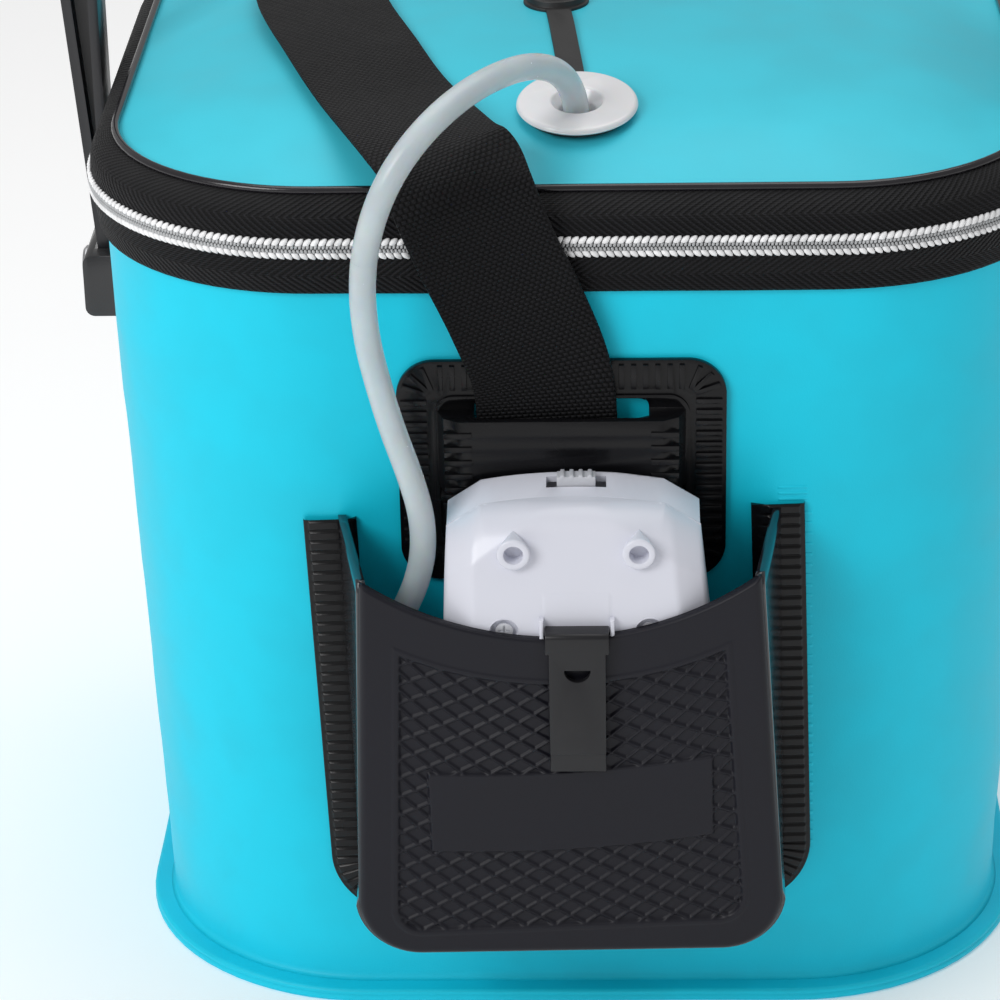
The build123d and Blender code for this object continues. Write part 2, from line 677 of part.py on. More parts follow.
def make_pump_shells():
    """Outer and inner case halves, with screw bosses, lugs and the nozzle hole."""
    hollow = pump_form(PUMP_SHELL)
    body = pump_body() - hollow
    near = Pos(0, 0, pump_split + FAR / 2) * Box(FAR, FAR, FAR)
    outer = body & near
    inner = body - near
    drill = []
    boss_root = pump_face - FACE_LEAN * (BOSS_Y + BOSS_RADIUS - FACE_BREAK) - PUMP_SHELL
    boss_face = pump_face + BOSS_RISE
    for side in (-1, 1):
        boss = Pos(side * BOSS_X, BOSS_Y, (boss_root + boss_face) / 2) * Cylinder(
            BOSS_RADIUS, boss_face - boss_root
        )
        # the boss runs up into the leaning face as a tapering fairing
        fairing = Pos(side * BOSS_X, BOSS_Y, boss_face - BOSS_RADIUS) * Rot(-115, 0, 0)
        fairing *= Pos(0, 0, FAIRING_LENGTH / 2) * Cone(
            BOSS_RADIUS * 0.92, BOSS_RADIUS * 0.5, FAIRING_LENGTH
        )
        outer += (boss + fairing) - hollow
        drill.append(
            Pos(side * BOSS_X, BOSS_Y, boss_face - BOSS_DEPTH + FAR / 2) * Cylinder(BOSS_BORE, FAR)
        )
        drill.append(Pos(side * SCREW_X, SCREW_Y, pump_face - 1) * Cylinder(SCREW_RECESS, 2.0))
        column = Pos(side * SCREW_X, SCREW_Y, (pump_split + pump_face) / 2) * Cylinder(
            SCREW_RECESS + 1.2, PUMP_DEPTH - SPLIT_FROM_BACK - 0.6
        )
        outer += column
        drill.append(
            Pos(side * SCREW_X, SCREW_Y, (pump_split + pump_face) / 2) * Cylinder(SCREW_RADIUS, FAR)
        )
    for cut in drill:
        outer -= cut
    for side in (-1, 1):
        lug = Pos(side * (CLIP_BEND_WIDTH / 2 + 1.0), CLIP_TOP + 3.2, pump_face + 1.0) * Box(1.2, 6, 2.4)
        outer += lug
    nozzle_hole = Pos(-PUMP_WIDTH / 2, NOZZLE_Y, nozzle_depth) * Rot(0, 90, 0) * Cylinder(
        NOZZLE_RADIUS + 0.9, 12
    )
    outer -= nozzle_hole
    inner -= nozzle_hole
    inner -= battery_hatch(0.0)
    knob_gap = Pos(0, PUMP_TOP, pump_back + 6.0) * Box(17.0, 12, 5.2)
    inner -= knob_gap
    return outer, inner


nozzle_depth = pump_back + PUMP_DEPTH * 0.52
motor_place = (MOTOR_X, MOTOR_Y, nozzle_depth)
chamber_top = NOZZLE_Y + CHAMBER_HEIGHT / 2
diaphragm_top = chamber_top + CUP_HEIGHT + 1.2 + SKIN_GAP


def battery_hatch(inset):
    """Prism of the battery cover through the rear wall, open at the pump's foot."""
    low = pump_low - 1.0
    high = pump_low + HATCH_HEIGHT - inset
    return Pos(0, (low + high) / 2, pump_back + PUMP_SHELL / 2) * Box(
        HATCH_WIDTH - 2 * inset, high - low, PUMP_SHELL + 0.02
    )


def make_battery_cover(body):
    """Cover over the cells: the lower part of the rear wall, with a ribbed thumb pad."""
    cover = body & battery_hatch(SKIN_GAP)
    for rib in range(5):
        y = pump_low + HATCH_HEIGHT - 8.0 - 2.4 * rib
        cover += Pos(0, y, pump_back - 0.3) * Box(14.0, 1.0, 0.6)
    return cover


def make_cells():
    """Two cells side by side."""
    cells = []
    low = pump_low + 9.0
    depth = pump_back + PUMP_SHELL + CELL_RADIUS + 0.5
    for side in (-1, 1):
        can = Rot(-90, 0, 0) * Cylinder(CELL_RADIUS, CELL_LENGTH - 1.2)
        tip = Rot(-90, 0, 0) * Cylinder(2.7, 1.2)
        y = low + (CELL_LENGTH - 1.2) / 2
        cell = Pos(side * CELL_PITCH / 2, y, depth) * can
        tip_y = low + CELL_LENGTH - 0.6
        cell += Pos(side * CELL_PITCH / 2, tip_y, depth) * tip
        cells.append(cell)
    return cells


def make_contacts():
    """Coil springs' stand-in cups and flat tabs at the two ends of the cells."""
    depth = pump_back + PUMP_SHELL + CELL_RADIUS + 0.5
    low = pump_low + 9.0
    parts = []
    for side in (-1, 1):
        spring = Cone(3.2, 4.6, 3.2)
        parts.append(
            Pos(side * CELL_PITCH / 2, low - SKIN_GAP - 1.6, depth) * Rot(90, 0, 0) * spring
        )
    tab_y = low + CELL_LENGTH + SKIN_GAP + 0.4
    parts.append(Pos(0, tab_y, depth) * Box(2 * CELL_PITCH - 4, 0.8, 9))
    return parts


def make_motor():
    """Motor can with its bearing boss, lying across the upper part of the pump."""
    can = Cylinder(MOTOR_RADIUS, MOTOR_LENGTH)
    can = chamfer(can.edges(), 0.8)
    can &= Box(40, 2 * MOTOR_RADIUS - 3.0, 60)
    can += Pos(0, 0, MOTOR_LENGTH / 2 + 0.8) * Cylinder(3.0, 1.6)
    can -= Pos(0, 0, MOTOR_LENGTH / 2) * Cylinder(SHAFT_RADIUS + SHAFT_FIT, 14)
    return Pos(*motor_place) * Rot(0, -90, 0) * can


def make_crank():
    """Eccentric wheel with its shaft and crank pin."""
    shaft = Pos(0, 0, 2.5) * Cylinder(SHAFT_RADIUS, 11)
    wheel = Pos(0, 0, 6.6) * Cylinder(CRANK_WHEEL, 3.0)
    pin = Pos(CRANK_THROW, 0, 9.4) * Cylinder(CRANK_PIN, 3.4)
    crank = shaft + wheel + pin
    return Pos(*motor_place) * Rot(0, -90, 0) * Pos(0, 0, MOTOR_LENGTH / 2) * crank


def make_push_rod():
    """Rod from the crank pin's eye down to the diaphragm."""
    eye_bore = CRANK_THROW + CRANK_PIN + SKIN_GAP
    eye = Cylinder(eye_bore + 1.5, 2.2) - Cylinder(eye_bore, 10)
    eye = Rot(0, 90, 0) * eye
    top = -eye_bore - 0.7
    low = diaphragm_top + SKIN_GAP - motor_place[1]
    rod = Pos(0, (top + low) / 2, 0) * Rot(90, 0, 0) * Cylinder(1.3, top - low)
    foot = Pos(0, low + 0.6, 0) * Rot(90, 0, 0) * Cylinder(3.4, 1.2)
    x = motor_place[0] - MOTOR_LENGTH / 2 - 9.4
    return Pos(x, motor_place[1], motor_place[2]) * (eye + rod + foot)


def make_air_chamber():
    """Valve box under the crank, with the seat of its rubber diaphragm."""
    box = Pos(CHAMBER_X, NOZZLE_Y, nozzle_depth) * Box(13, CHAMBER_HEIGHT, 16)
    box = fillet(box.edges().filter_by(Axis.Y), 1.5)
    return box


def make_diaphragm():
    """Rubber bellows cup on top of the valve box."""
    rim = Pos(0, 0, 0.6) * Cylinder(6.2, 1.2)
    cup = rim + Pos(0, 0, 1.2 + CUP_HEIGHT / 2) * Cone(5.8, 4.6, CUP_HEIGHT)
    return Pos(CHAMBER_X, chamber_top + SKIN_GAP, nozzle_depth) * Rot(-90, 0, 0) * cup


def make_nozzle():
    """Barbed outlet that the hose is pushed on."""
    root = 3.0
    tube = Pos(0, 0, (NOZZLE_LENGTH - root) / 2) * Cylinder(
        NOZZLE_RADIUS - 0.3, NOZZLE_LENGTH + root
    )
    barb = Pos(0, 0, NOZZLE_LENGTH - 1.2) * Cone(NOZZLE_RADIUS, NOZZLE_RADIUS - 0.7, 2.4)
    collar = Pos(0, 0, -0.9) * Cylinder(NOZZLE_RADIUS + 0.8, 1.8)
    nozzle = tube + barb + collar
    nozzle -= Pos(0, 0, NOZZLE_LENGTH / 2) * Cylinder(NOZZLE_BORE, 40)
    face = -PUMP_WIDTH / 2
    return Pos(face, NOZZLE_Y, nozzle_depth) * Rot(0, -90, 0) * nozzle


def make_belt_clip():
    """Bent strip clip, from the pump's face over the pocket's wall and down outside it."""
    root = pump_face
    outside = POCKET_DEPTH + LATTICE_RISE + SKIN_GAP + 0.4
    face = outside + CLIP_THICKNESS
    top = CLIP_TOP + 3.5
    tip = CLIP_LOW + CLIP_TIP
    profile = make_face(
        Polyline(
            (root, top), (face, top), (face, tip), (face - CLIP_THICKNESS / 3, tip),
            (face - CLIP_THICKNESS / 2, CLIP_LOW), (outside, CLIP_LOW),
            (outside, top - CLIP_THICKNESS), (root, top - CLIP_THICKNESS), close=True,
        )
    )
    corner = profile.vertices().sort_by(Axis.Y)[-2:].sort_by(Axis.X)[-1]
    profile = fillet(corner, 1.6)
    plane = Plane(origin=(-CLIP_BEND_WIDTH / 2, 0, 0), x_dir=(0, 0, 1), z_dir=(1, 0, 0))
    clip = plane * extrude(mirror(profile, about=Plane.XZ), CLIP_BEND_WIDTH)
    clip = mirror(clip, about=Plane.XZ) if clip.center().Y < 0 else clip
    shoulder = top - CLIP_BEND_DROP
    for side in (-1, 1):
        clip -= Pos(side * (CLIP_WIDTH + FAR) / 2, shoulder - FAR / 2, outside) * Box(FAR, FAR, FAR)
    flat_side = top - CLIP_HOLE_DROP
    hole = Pos(0, flat_side, outside) * Cylinder(CLIP_HOLE_RADIUS, FAR)
    return clip - (hole - Pos(0, flat_side + FAR / 2, outside) * Box(FAR, FAR, FAR))


def make_switch():
    """Sliding switch knob with grip ribs, on the pump's top."""
    knob = Pos(0, PUMP_TOP - 0.6, pump_back + 6.0) * Box(11.0, 4.0, 4.4)
    for rib in range(4):
        knob += Pos(-3.9 + 2.6 * rib, PUMP_TOP + 1.6, pump_back + 6.0) * Box(1.2, 0.8, 4.4)
    return knob


def make_screws():
    """Case screws in their recesses."""
    screws = []
    for side in (-1, 1):
        head_y = pump_face - 2.0
        screw = Pos(side * SCREW_X, SCREW_Y, head_y - 6.0) * Cylinder(SCREW_RADIUS - 0.05, 12)
        head = Pos(side * SCREW_X, SCREW_Y, head_y + 0.6) * Cylinder(SCREW_HEAD, 1.2)
        slot = Pos(side * SCREW_X, SCREW_Y, head_y + 1.2)
        head -= slot * Box(3.4, 0.6, 1.2)
        head -= slot * Box(0.6, 3.4, 1.2)
        screws.append(screw + head)
    return screws


# ================================================================== hose, stone, strap
def hose_points():
    """Route of the hose: nozzle, up the front, over the lid's edge, down the grommet, to the stone."""
    return [
        (-44.7, -151.8, 118.0),
        (-52.6, -151.7, 118.4),
        (-57.4, -151.2, 125.4),
        (-55.6, -150.0, 135.0),
        (-50.6, -149.3, 144.4),
        (-45.8, -150.2, 154.6),
        (-43.0, -152.2, 166.5),
        (-43.0, -154.0, 179.0),
        (-46.0, -154.6, 192.0),
        (-50.4, -153.6, 205.0),
        (-54.0, -152.2, 218.0),
        (-56.8, -151.6, 231.0),
        (-57.8, -152.6, 244.5),
        (-56.8, -155.0, 258.0),
        (-53.4, -157.2, 271.6),
        (-47.8, -156.6, 283.6),
        (-40.0, -151.4, 292.8),
        (-30.6, -141.0, 298.6),
        (-20.6, -127.4, 300.4),
        (-10.8, -113.4, 298.8),
        (-3.0, -101.0, 292.6),
        (1.2, -91.4, 281.6),
        (1.6, -87.9, 268.0),
        (2.2, -86.4, 251.0),
        (4.4, -85.0, 232.0),
        (6.8, -83.2, 212.0),
        (7.6, -80.6, 188.0),
        (6.0, -78.4, 164.0),
        (2.4, -76.6, 140.0),
        (-1.8, -73.6, 116.0),
        (-5.4, -69.4, 92.0),
        (-7.6, -62.6, 68.0),
        (-7.2, -52.6, 46.0),
        (-4.6, -39.0, 28.6),
        (0.0, -24.6, 17.0),
        (4.6, -10.6, 12.0),
        (8.4, 3.0, 10.9),
    ]


def hose_radii(points):
    """Largest arc that each corner's two runs allow."""
    radii = []
    for index in range(1, len(points) - 1):
        before = Vector(*points[index]) - Vector(*points[index - 1])
        after = Vector(*points[index + 1]) - Vector(*points[index])
        turn = math.radians(before.get_angle(after))
        run = min(before.length, after.length)
        radii.append(0.45 * run / math.tan(turn / 2))
    return radii


def make_hose():
    """Silicone hose as a plain tube along its route."""
    points = hose_points()
    radii = hose_radii(points)
    path = FilletPolyline(*points, radius=radii)
    print("hose length", round(path.length, 1), "arc radii", [round(r) for r in radii])
    start = Plane(origin=path @ 0, z_dir=path % 0)
    tube = sweep(start * Circle(HOSE_RADIUS), path=path)
    section = math.pi * HOSE_RADIUS**2
    print("hose volume", round(tube.volume), "section x length", round(section * path.length))
    return tube


def make_stone():
    """Cylindrical air stone on the tub's floor."""
    tip = Vector(*hose_points()[-1])
    before = Vector(*hose_points()[-2])
    aim = Vector(tip.X - before.X, tip.Y - before.Y, 0).normalized()
    floor = BASE_BOARD + STONE_RADIUS + SKIN_GAP
    plane = Plane(origin=(tip.X, tip.Y, floor), z_dir=aim)
    stone = Pos(0, 0, 4.0 + STONE_LENGTH / 2) * Cylinder(STONE_RADIUS, STONE_LENGTH)
    stone = chamfer(stone.edges(), 1.5)
    stone += Pos(0, 0, 2.2) * Cylinder(3.4, 3.8)
    return plane * stone


STRAP_STATIONS = [
    # middle x, y, z, then the direction across: its angle on plan and its rise
    (-7.6, -133.6, 184.0, 0, 0.02),
    (-7.6, -133.7, 200.0, 0, 0.1),
    (-9.4, -134.6, 215.4, 0, 0.3),
    (-16.1, -135.6, 234.1, 0, 0.36),
    (-24.1, -137.0, 252.8, 0, 0.36),
    (-29.7, -137.6, 268.0, 8, 0.34),
    (-33.6, -131.6, 276.6, 22, 0.22),
    (-40.7, -118.6, 279.8, 26, 0.08),
    (-54.5, -82.4, 280.6, 22, 0.0),
    (-65.2, -49.4, 282.6, 20, 0.0),
    (-78.0, 0.0, 282.8, 8, 0.0),
    (-79.0, 42.0, 281.6, -10, 0.0),
    (-68.0, 82.0, 281.0, -20, 0.0),
    (-54.0, 112.0, 279.6, -22, 0.0),
    (-43.0, 131.6, 276.4, -14, -0.1),
    (-33.0, 139.4, 264.6, -4, -0.3),
    (-20.0, 139.6, 250.0, 0, -0.3),
    (-9.0, 138.8, 237.0, 0, -0.2),
    (-4.0, 137.8, 222.0, 0, 0.0),
    (-1.0, 136.4, 210.0, 0, 0.0),
    (0.0, 134.2, 200.0, 0, 0.0),
    (0.0, 133.7, 184.0, 0, 0.0),
]
ADJUSTER_STATION = 18


def strap_plane(index):
    """Plane square to the strap at a station, with x across it."""
    middles = [Vector(*station[:3]) for station in STRAP_STATIONS]
    angle, rise = STRAP_STATIONS[index][3:]
    before = middles[max(index - 1, 0)]
    after = middles[min(index + 1, len(middles) - 1)]
    along = (after - before).normalized()
    level = math.radians(angle)
    across = Vector(math.cos(level), math.sin(level), rise).normalized()
    across = (across - along * across.dot(along)).normalized()
    return Plane(origin=middles[index], x_dir=across, z_dir=along)


def make_strap():
    """Webbing strap from the front patch over the lid to the back patch."""
    sections = [
        (strap_plane(index) * Rectangle(STRAP_WIDTH, STRAP_THICKNESS)).face()
        for index in range(len(STRAP_STATIONS))
    ]
    return loft(sections, ruled=True)


def make_adjuster():
    """Slide buckle round the strap, high on the back wall."""
    frame = Box(STRAP_WIDTH + 9.0, STRAP_THICKNESS + 4.8, ADJUSTER_HEIGHT)
    frame = fillet(frame.edges().filter_by(Axis.Y), 3)
    hole = Box(STRAP_WIDTH + 1.6, STRAP_THICKNESS + 2.0, 60)
    return strap_plane(ADJUSTER_STATION) * (frame - hole)


# ================================================================== bail and brackets
def bail_region(waist_points, side, radius):
    """Area under an arch: up one arm's waist points, round the shoulder and along the top."""
    shoulder = BAIL_TOP - BAIL_RADIUS
    arch_x = BAIL_SPREAD - BAIL_RADIUS
    diagonal = radius * math.sqrt(0.5)
    lines = [
        Line((0, PIVOT_HEIGHT), waist_points[0]),
        Polyline(*waist_points, (side, shoulder)),
        ThreePointArc(
            (side, shoulder), (arch_x + diagonal, shoulder + diagonal), (arch_x, shoulder + radius)
        ),
        Line((arch_x, shoulder + radius), (0, shoulder + radius)),
        Line((0, shoulder + radius), (0, PIVOT_HEIGHT)),
    ]
    return make_face(lines)


def bail_outside(inset):
    """Area inside the bail's outer edge, drawn in by inset."""
    foot = HUB_OUTER_X - inset
    waist = [(foot, PIVOT_HEIGHT), (foot + 0.6, PIVOT_HEIGHT + HUB_RADIUS)]
    return bail_region(waist, BAIL_SPREAD - inset, BAIL_RADIUS - inset)


def bail_inside(grow):
    """Area inside the bail's inner edge, made larger by grow."""
    waist = [
        (HUB_INNER_X + grow, PIVOT_HEIGHT),
        (ARM_CLEAR_X + grow, PIVOT_HEIGHT + 2 * HUB_RADIUS),
        (ARM_CLEAR_X + grow, ZIP_HEIGHT + 10.0),
    ]
    return bail_region(waist, BAIL_SPREAD - BAIL_DEPTH + grow, BAIL_RADIUS - BAIL_DEPTH + grow)


def make_bail():
    """I-section bail: outer and inner flanges on a thin web, with a hub on each arm."""
    web = bail_outside(0) - bail_inside(0)
    outer_flange = bail_outside(0) - bail_outside(BAIL_FLANGE) - bail_inside(0)
    inner_flange = (bail_inside(BAIL_FLANGE) - bail_inside(0)) & bail_outside(0)
    half = extrude(Plane.XZ * web, BAIL_WEB / 2, both=True)
    for flange in (outer_flange, inner_flange):
        half += extrude(Plane.XZ * flange, BAIL_WIDTH / 2, both=True)
    hub_x = (HUB_OUTER_X + HUB_INNER_X) / 2
    pivot = Pos(hub_x, 0, PIVOT_HEIGHT) * Rot(0, 90, 0)
    half += pivot * Cylinder(HUB_RADIUS, HUB_OUTER_X - HUB_INNER_X)
    half -= pivot * Cylinder(PIN_RADIUS + PIN_FIT, FAR / 10)
    return half + mirror(half, about=Plane.YZ)


def make_grip(bail):
    """Hand grip moulded round the middle of the arch."""
    middle = BAIL_TOP - BAIL_DEPTH / 2
    grip = Pos(0, 0, middle) * Box(GRIP_LENGTH, GRIP_WIDTH, GRIP_HEIGHT)
    grip = fillet(grip.edges().filter_by(Axis.X), 8.0)
    grip = chamfer(grip.faces().filter_by(Axis.X).edges(), 1.2)
    return grip - bail


def make_bracket():
    """Right-hand bracket: ribbed plate on the wall and a housing that is open at the back and top."""
    right_wall = Plane(
        origin=(BODY_WIDTH / 2 - WALL_LEAN, 0, 0), x_dir=(0, 1, 0), z_dir=(lean_cos, 0, -lean_sin)
    )
    housing_low, housing_high = PIVOT_HEIGHT - HOUSING_DROP, PIVOT_HEIGHT + HOUSING_RISE
    middle = (housing_low + housing_high) / 2
    plate = Pos(0, middle) * extrude(
        RectangleRounded(BRACKET_WIDTH, BRACKET_HEIGHT, 10), BRACKET_PLATE
    )
    for side in (-1, 1):
        x = side * (BRACKET_WIDTH / 2 - 4.2)
        low, high = middle - BRACKET_HEIGHT / 2 + 10, middle + BRACKET_HEIGHT / 2 - 10
        for rib in rib_row(low, high, x, True, 5.6, 1.5, 0.9, BRACKET_PLATE):
            plate += rib
    plate = right_wall * plate
    inner_x = BODY_WIDTH / 2 - WALL_LEAN
    block = Pos((inner_x + HOUSING_OUTER_X) / 2, 0, middle) * Box(
        HOUSING_OUTER_X - inner_x, HOUSING_WIDTH, housing_high - housing_low
    )
    block = fillet(block.edges().filter_by(Axis.Y).sort_by(Axis.X)[-2:], 3.0)
    block -= tub_solid([(BASE_BOARD, 0), (ZIP_HEIGHT, 0)])
    slot_low_x = HUB_INNER_X - 0.6
    slot_high_x = HUB_OUTER_X + ARM_ROOM
    slot_x = (slot_low_x + slot_high_x) / 2
    slot_width = slot_high_x - slot_low_x
    slot = Pos(slot_x, 0, PIVOT_HEIGHT) * Rot(0, 90, 0) * Cylinder(HUB_RADIUS + HUB_ROOM, slot_width)
    front_stop = -HUB_RADIUS - HUB_ROOM
    slot += Pos(slot_x, front_stop + FAR / 2, PIVOT_HEIGHT + FAR / 2) * Box(slot_width, FAR, FAR)
    slot += Pos(slot_x, FAR / 2, PIVOT_HEIGHT - FAR / 2 + HUB_RADIUS + HUB_ROOM) * Box(
        slot_width, FAR, FAR
    )
    pin_depth = HOUSING_OUTER_X - HUB_INNER_X + PIN_TAIL
    pin_hole = Pos(HOUSING_OUTER_X, 0, PIVOT_HEIGHT) * Rot(0, 90, 0) * Cylinder(
        PIN_RADIUS, 2 * pin_depth
    )
    return plate + (block - slot) - pin_hole


def make_pin():
    """Right-hand pivot pin with a domed head on the housing's face."""
    low = HUB_INNER_X - PIN_TAIL
    length = HOUSING_OUTER_X - low
    pin = Pos(low + length / 2, 0, PIVOT_HEIGHT) * Rot(0, 90, 0) * Cylinder(PIN_RADIUS, length)
    head = Pos(HOUSING_OUTER_X + 0.9, 0, PIVOT_HEIGHT) * Rot(0, 90, 0) * Cylinder(6.5, 1.8)
    head = chamfer(head.edges().sort_by(Axis.X)[-1], 0.9)
    return pin + head


# ================================================================== zip slider
slider_x = BODY_WIDTH / 2 + TAPE_PROUD + TEETH_PROUD + SKIN_GAP
pull_pin_x = slider_x + SLIDER_PLATE + PULL_BARREL + SKIN_GAP


def make_slider():
    """Slider plate over the teeth of the right flank, with two ears and the pull's pin."""
    plate = Pos(slider_x + SLIDER_PLATE / 2, SLIDER_Y, ZIP_HEIGHT) * Box(
        SLIDER_PLATE, SLIDER_LENGTH, 9.6
    )
    plate = fillet(plate.edges().filter_by(Axis.X), 3.0)
    reach = pull_pin_x + PULL_PIN + 0.6 - slider_x
    for side in (-1, 1):
        ear_y = SLIDER_Y + side * (PULL_WIDTH / 2 + 1.1)
        ear = Pos(slider_x + reach / 2, ear_y, ZIP_HEIGHT) * Box(reach, 1.2, 4.4)
        plate += fillet(ear.edges().filter_by(Axis.Y).sort_by(Axis.X)[-2:], 1.6)
    pin = Pos(pull_pin_x, SLIDER_Y, ZIP_HEIGHT) * Rot(90, 0, 0) * Cylinder(
        PULL_PIN, PULL_WIDTH + 3.0
    )
    return plate + pin


def make_pull():
    """Pull tab that hangs from the slider's pin."""
    barrel = Rot(90, 0, 0) * Cylinder(PULL_BARREL, PULL_WIDTH)
    tab = Pos(0, 0, -PULL_LENGTH / 2) * Box(1.4, PULL_WIDTH, PULL_LENGTH)
    tab = fillet(tab.edges().filter_by(Axis.X).sort_by(Axis.Z)[:2], 2.6)
    window = Pos(0, 0, -PULL_LENGTH * 0.62) * Box(4, PULL_WIDTH - 4.0, 9.0)
    pull = barrel + (tab - fillet(window.edges().filter_by(Axis.X), 1.2))
    pull -= Rot(90, 0, 0) * Cylinder(PULL_PIN + PIN_FIT, 30)
    return Pos(pull_pin_x, SLIDER_Y, ZIP_HEIGHT) * pull


# ================================================================== build
save(make_tub(), "tub_shell")
save(make_base_board(), "base_board")
save(make_rim_binding(), "rim_binding")
save(make_lower_tape(), "zip_tape_lower")
save(
    make_teeth(ZIP_HEIGHT - ZIP_SPLIT - TEETH_HEIGHT, ZIP_HEIGHT - ZIP_SPLIT, tub_solid),
    "zip_teeth_lower",
)

grommet_plane = find_grommet_plane()
save(make_lid_panel(), "lid_panel")
save(make_upper_tape(), "zip_tape_upper")
save(make_teeth(lid_low, lid_low + TEETH_HEIGHT, lid_solid), "zip_teeth_upper")
save(make_welt(), "lid_welt")
save(make_hinge_tape(), "hinge_tape")
save(make_grommet(), "grommet")
save(make_grommet_nut(), "grommet_nut")
save(make_plug_tether(), "plug_tether")

patch = make_strap_patch()
save(front_wall * patch, "strap_patch_front")
save(back_wall * patch, "strap_patch_back")
save(make_strap(), "shoulder_strap")
save(make_adjuster(), "strap_adjuster")

save(front_wall * make_pocket(), "pump_pocket")

pump_seat = front_wall * Pos(PUMP_X, 0, 0)
pump_outer, pump_inner = make_pump_shells()
save(pump_seat * pump_outer, "pump_back_case")
save(pump_seat * pump_inner, "pump_front_case")
save(pump_seat * make_battery_cover(pump_body()), "battery_cover")
save(Compound(children=[pump_seat * cell for cell in make_cells()]), "cells")
save(Compound(children=[pump_seat * tab for tab in make_contacts()]), "battery_contacts")
save(pump_seat * make_motor(), "pump_motor")
save(pump_seat * make_crank(), "crank_wheel")
save(pump_seat * make_push_rod(), "push_rod")
save(pump_seat * make_air_chamber(), "valve_box")
save(pump_seat * make_diaphragm(), "diaphragm")
save(pump_seat * make_nozzle(), "outlet_nozzle")
save(pump_seat * make_belt_clip(), "belt_clip")
save(pump_seat * make_switch(), "pump_switch")
save(Compound(children=[pump_seat * screw for screw in make_screws()]), "case_screws")

save(make_hose(), "air_hose")
save(make_stone(), "air_stone")

bail = make_bail()
save(bail, "bail_handle")
save(make_grip(bail), "bail_grip")
bracket = make_bracket()
save(bracket, "bracket_right")
save(mirror(bracket, about=Plane.YZ), "bracket_left")
pin = make_pin()
save(Compound(children=[pin, mirror(pin, about=Plane.YZ)]), "pivot_pins")

save(make_slider(), "zip_slider")
save(make_pull(), "zip_pull")
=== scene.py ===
"""Dressed model of an aerated bait bucket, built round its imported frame.

Lengths are in metres, +Z up, and the pump pocket faces -Y.
"""

import logging
import math
from dataclasses import dataclass
from enum import Enum
from typing import Callable, Sequence

import bmesh
import bpy
import numpy as np
from mathutils import Matrix, Vector


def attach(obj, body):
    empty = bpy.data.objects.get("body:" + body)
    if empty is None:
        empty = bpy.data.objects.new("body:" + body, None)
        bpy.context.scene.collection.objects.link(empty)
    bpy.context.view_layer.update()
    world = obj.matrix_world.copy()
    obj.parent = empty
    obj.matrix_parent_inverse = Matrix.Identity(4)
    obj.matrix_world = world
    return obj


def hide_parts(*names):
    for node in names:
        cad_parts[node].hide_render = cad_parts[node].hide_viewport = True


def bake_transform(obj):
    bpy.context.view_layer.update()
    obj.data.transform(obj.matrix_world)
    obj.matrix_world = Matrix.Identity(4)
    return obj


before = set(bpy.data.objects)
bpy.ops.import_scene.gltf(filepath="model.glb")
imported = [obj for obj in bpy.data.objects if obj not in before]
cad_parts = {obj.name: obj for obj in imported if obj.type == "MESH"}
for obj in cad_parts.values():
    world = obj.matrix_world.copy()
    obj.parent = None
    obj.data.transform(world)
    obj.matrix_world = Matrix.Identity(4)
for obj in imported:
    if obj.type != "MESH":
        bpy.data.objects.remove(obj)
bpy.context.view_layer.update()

logging.basicConfig(level=logging.INFO, format="%(name)s: %(message)s")
log = logging.getLogger("bait_bucket")

MM = 0.001
THREAD_MAP = "threads"
Array = np.ndarray
Object = bpy.types.Object
Node = bpy.types.Node
Tree = bpy.types.NodeTree
Socket = bpy.types.NodeSocket
Pair = tuple[float, float]
Point = tuple[float, float, float]
Color = tuple[float, float, float]
Rows = tuple[tuple[float, ...], ...]


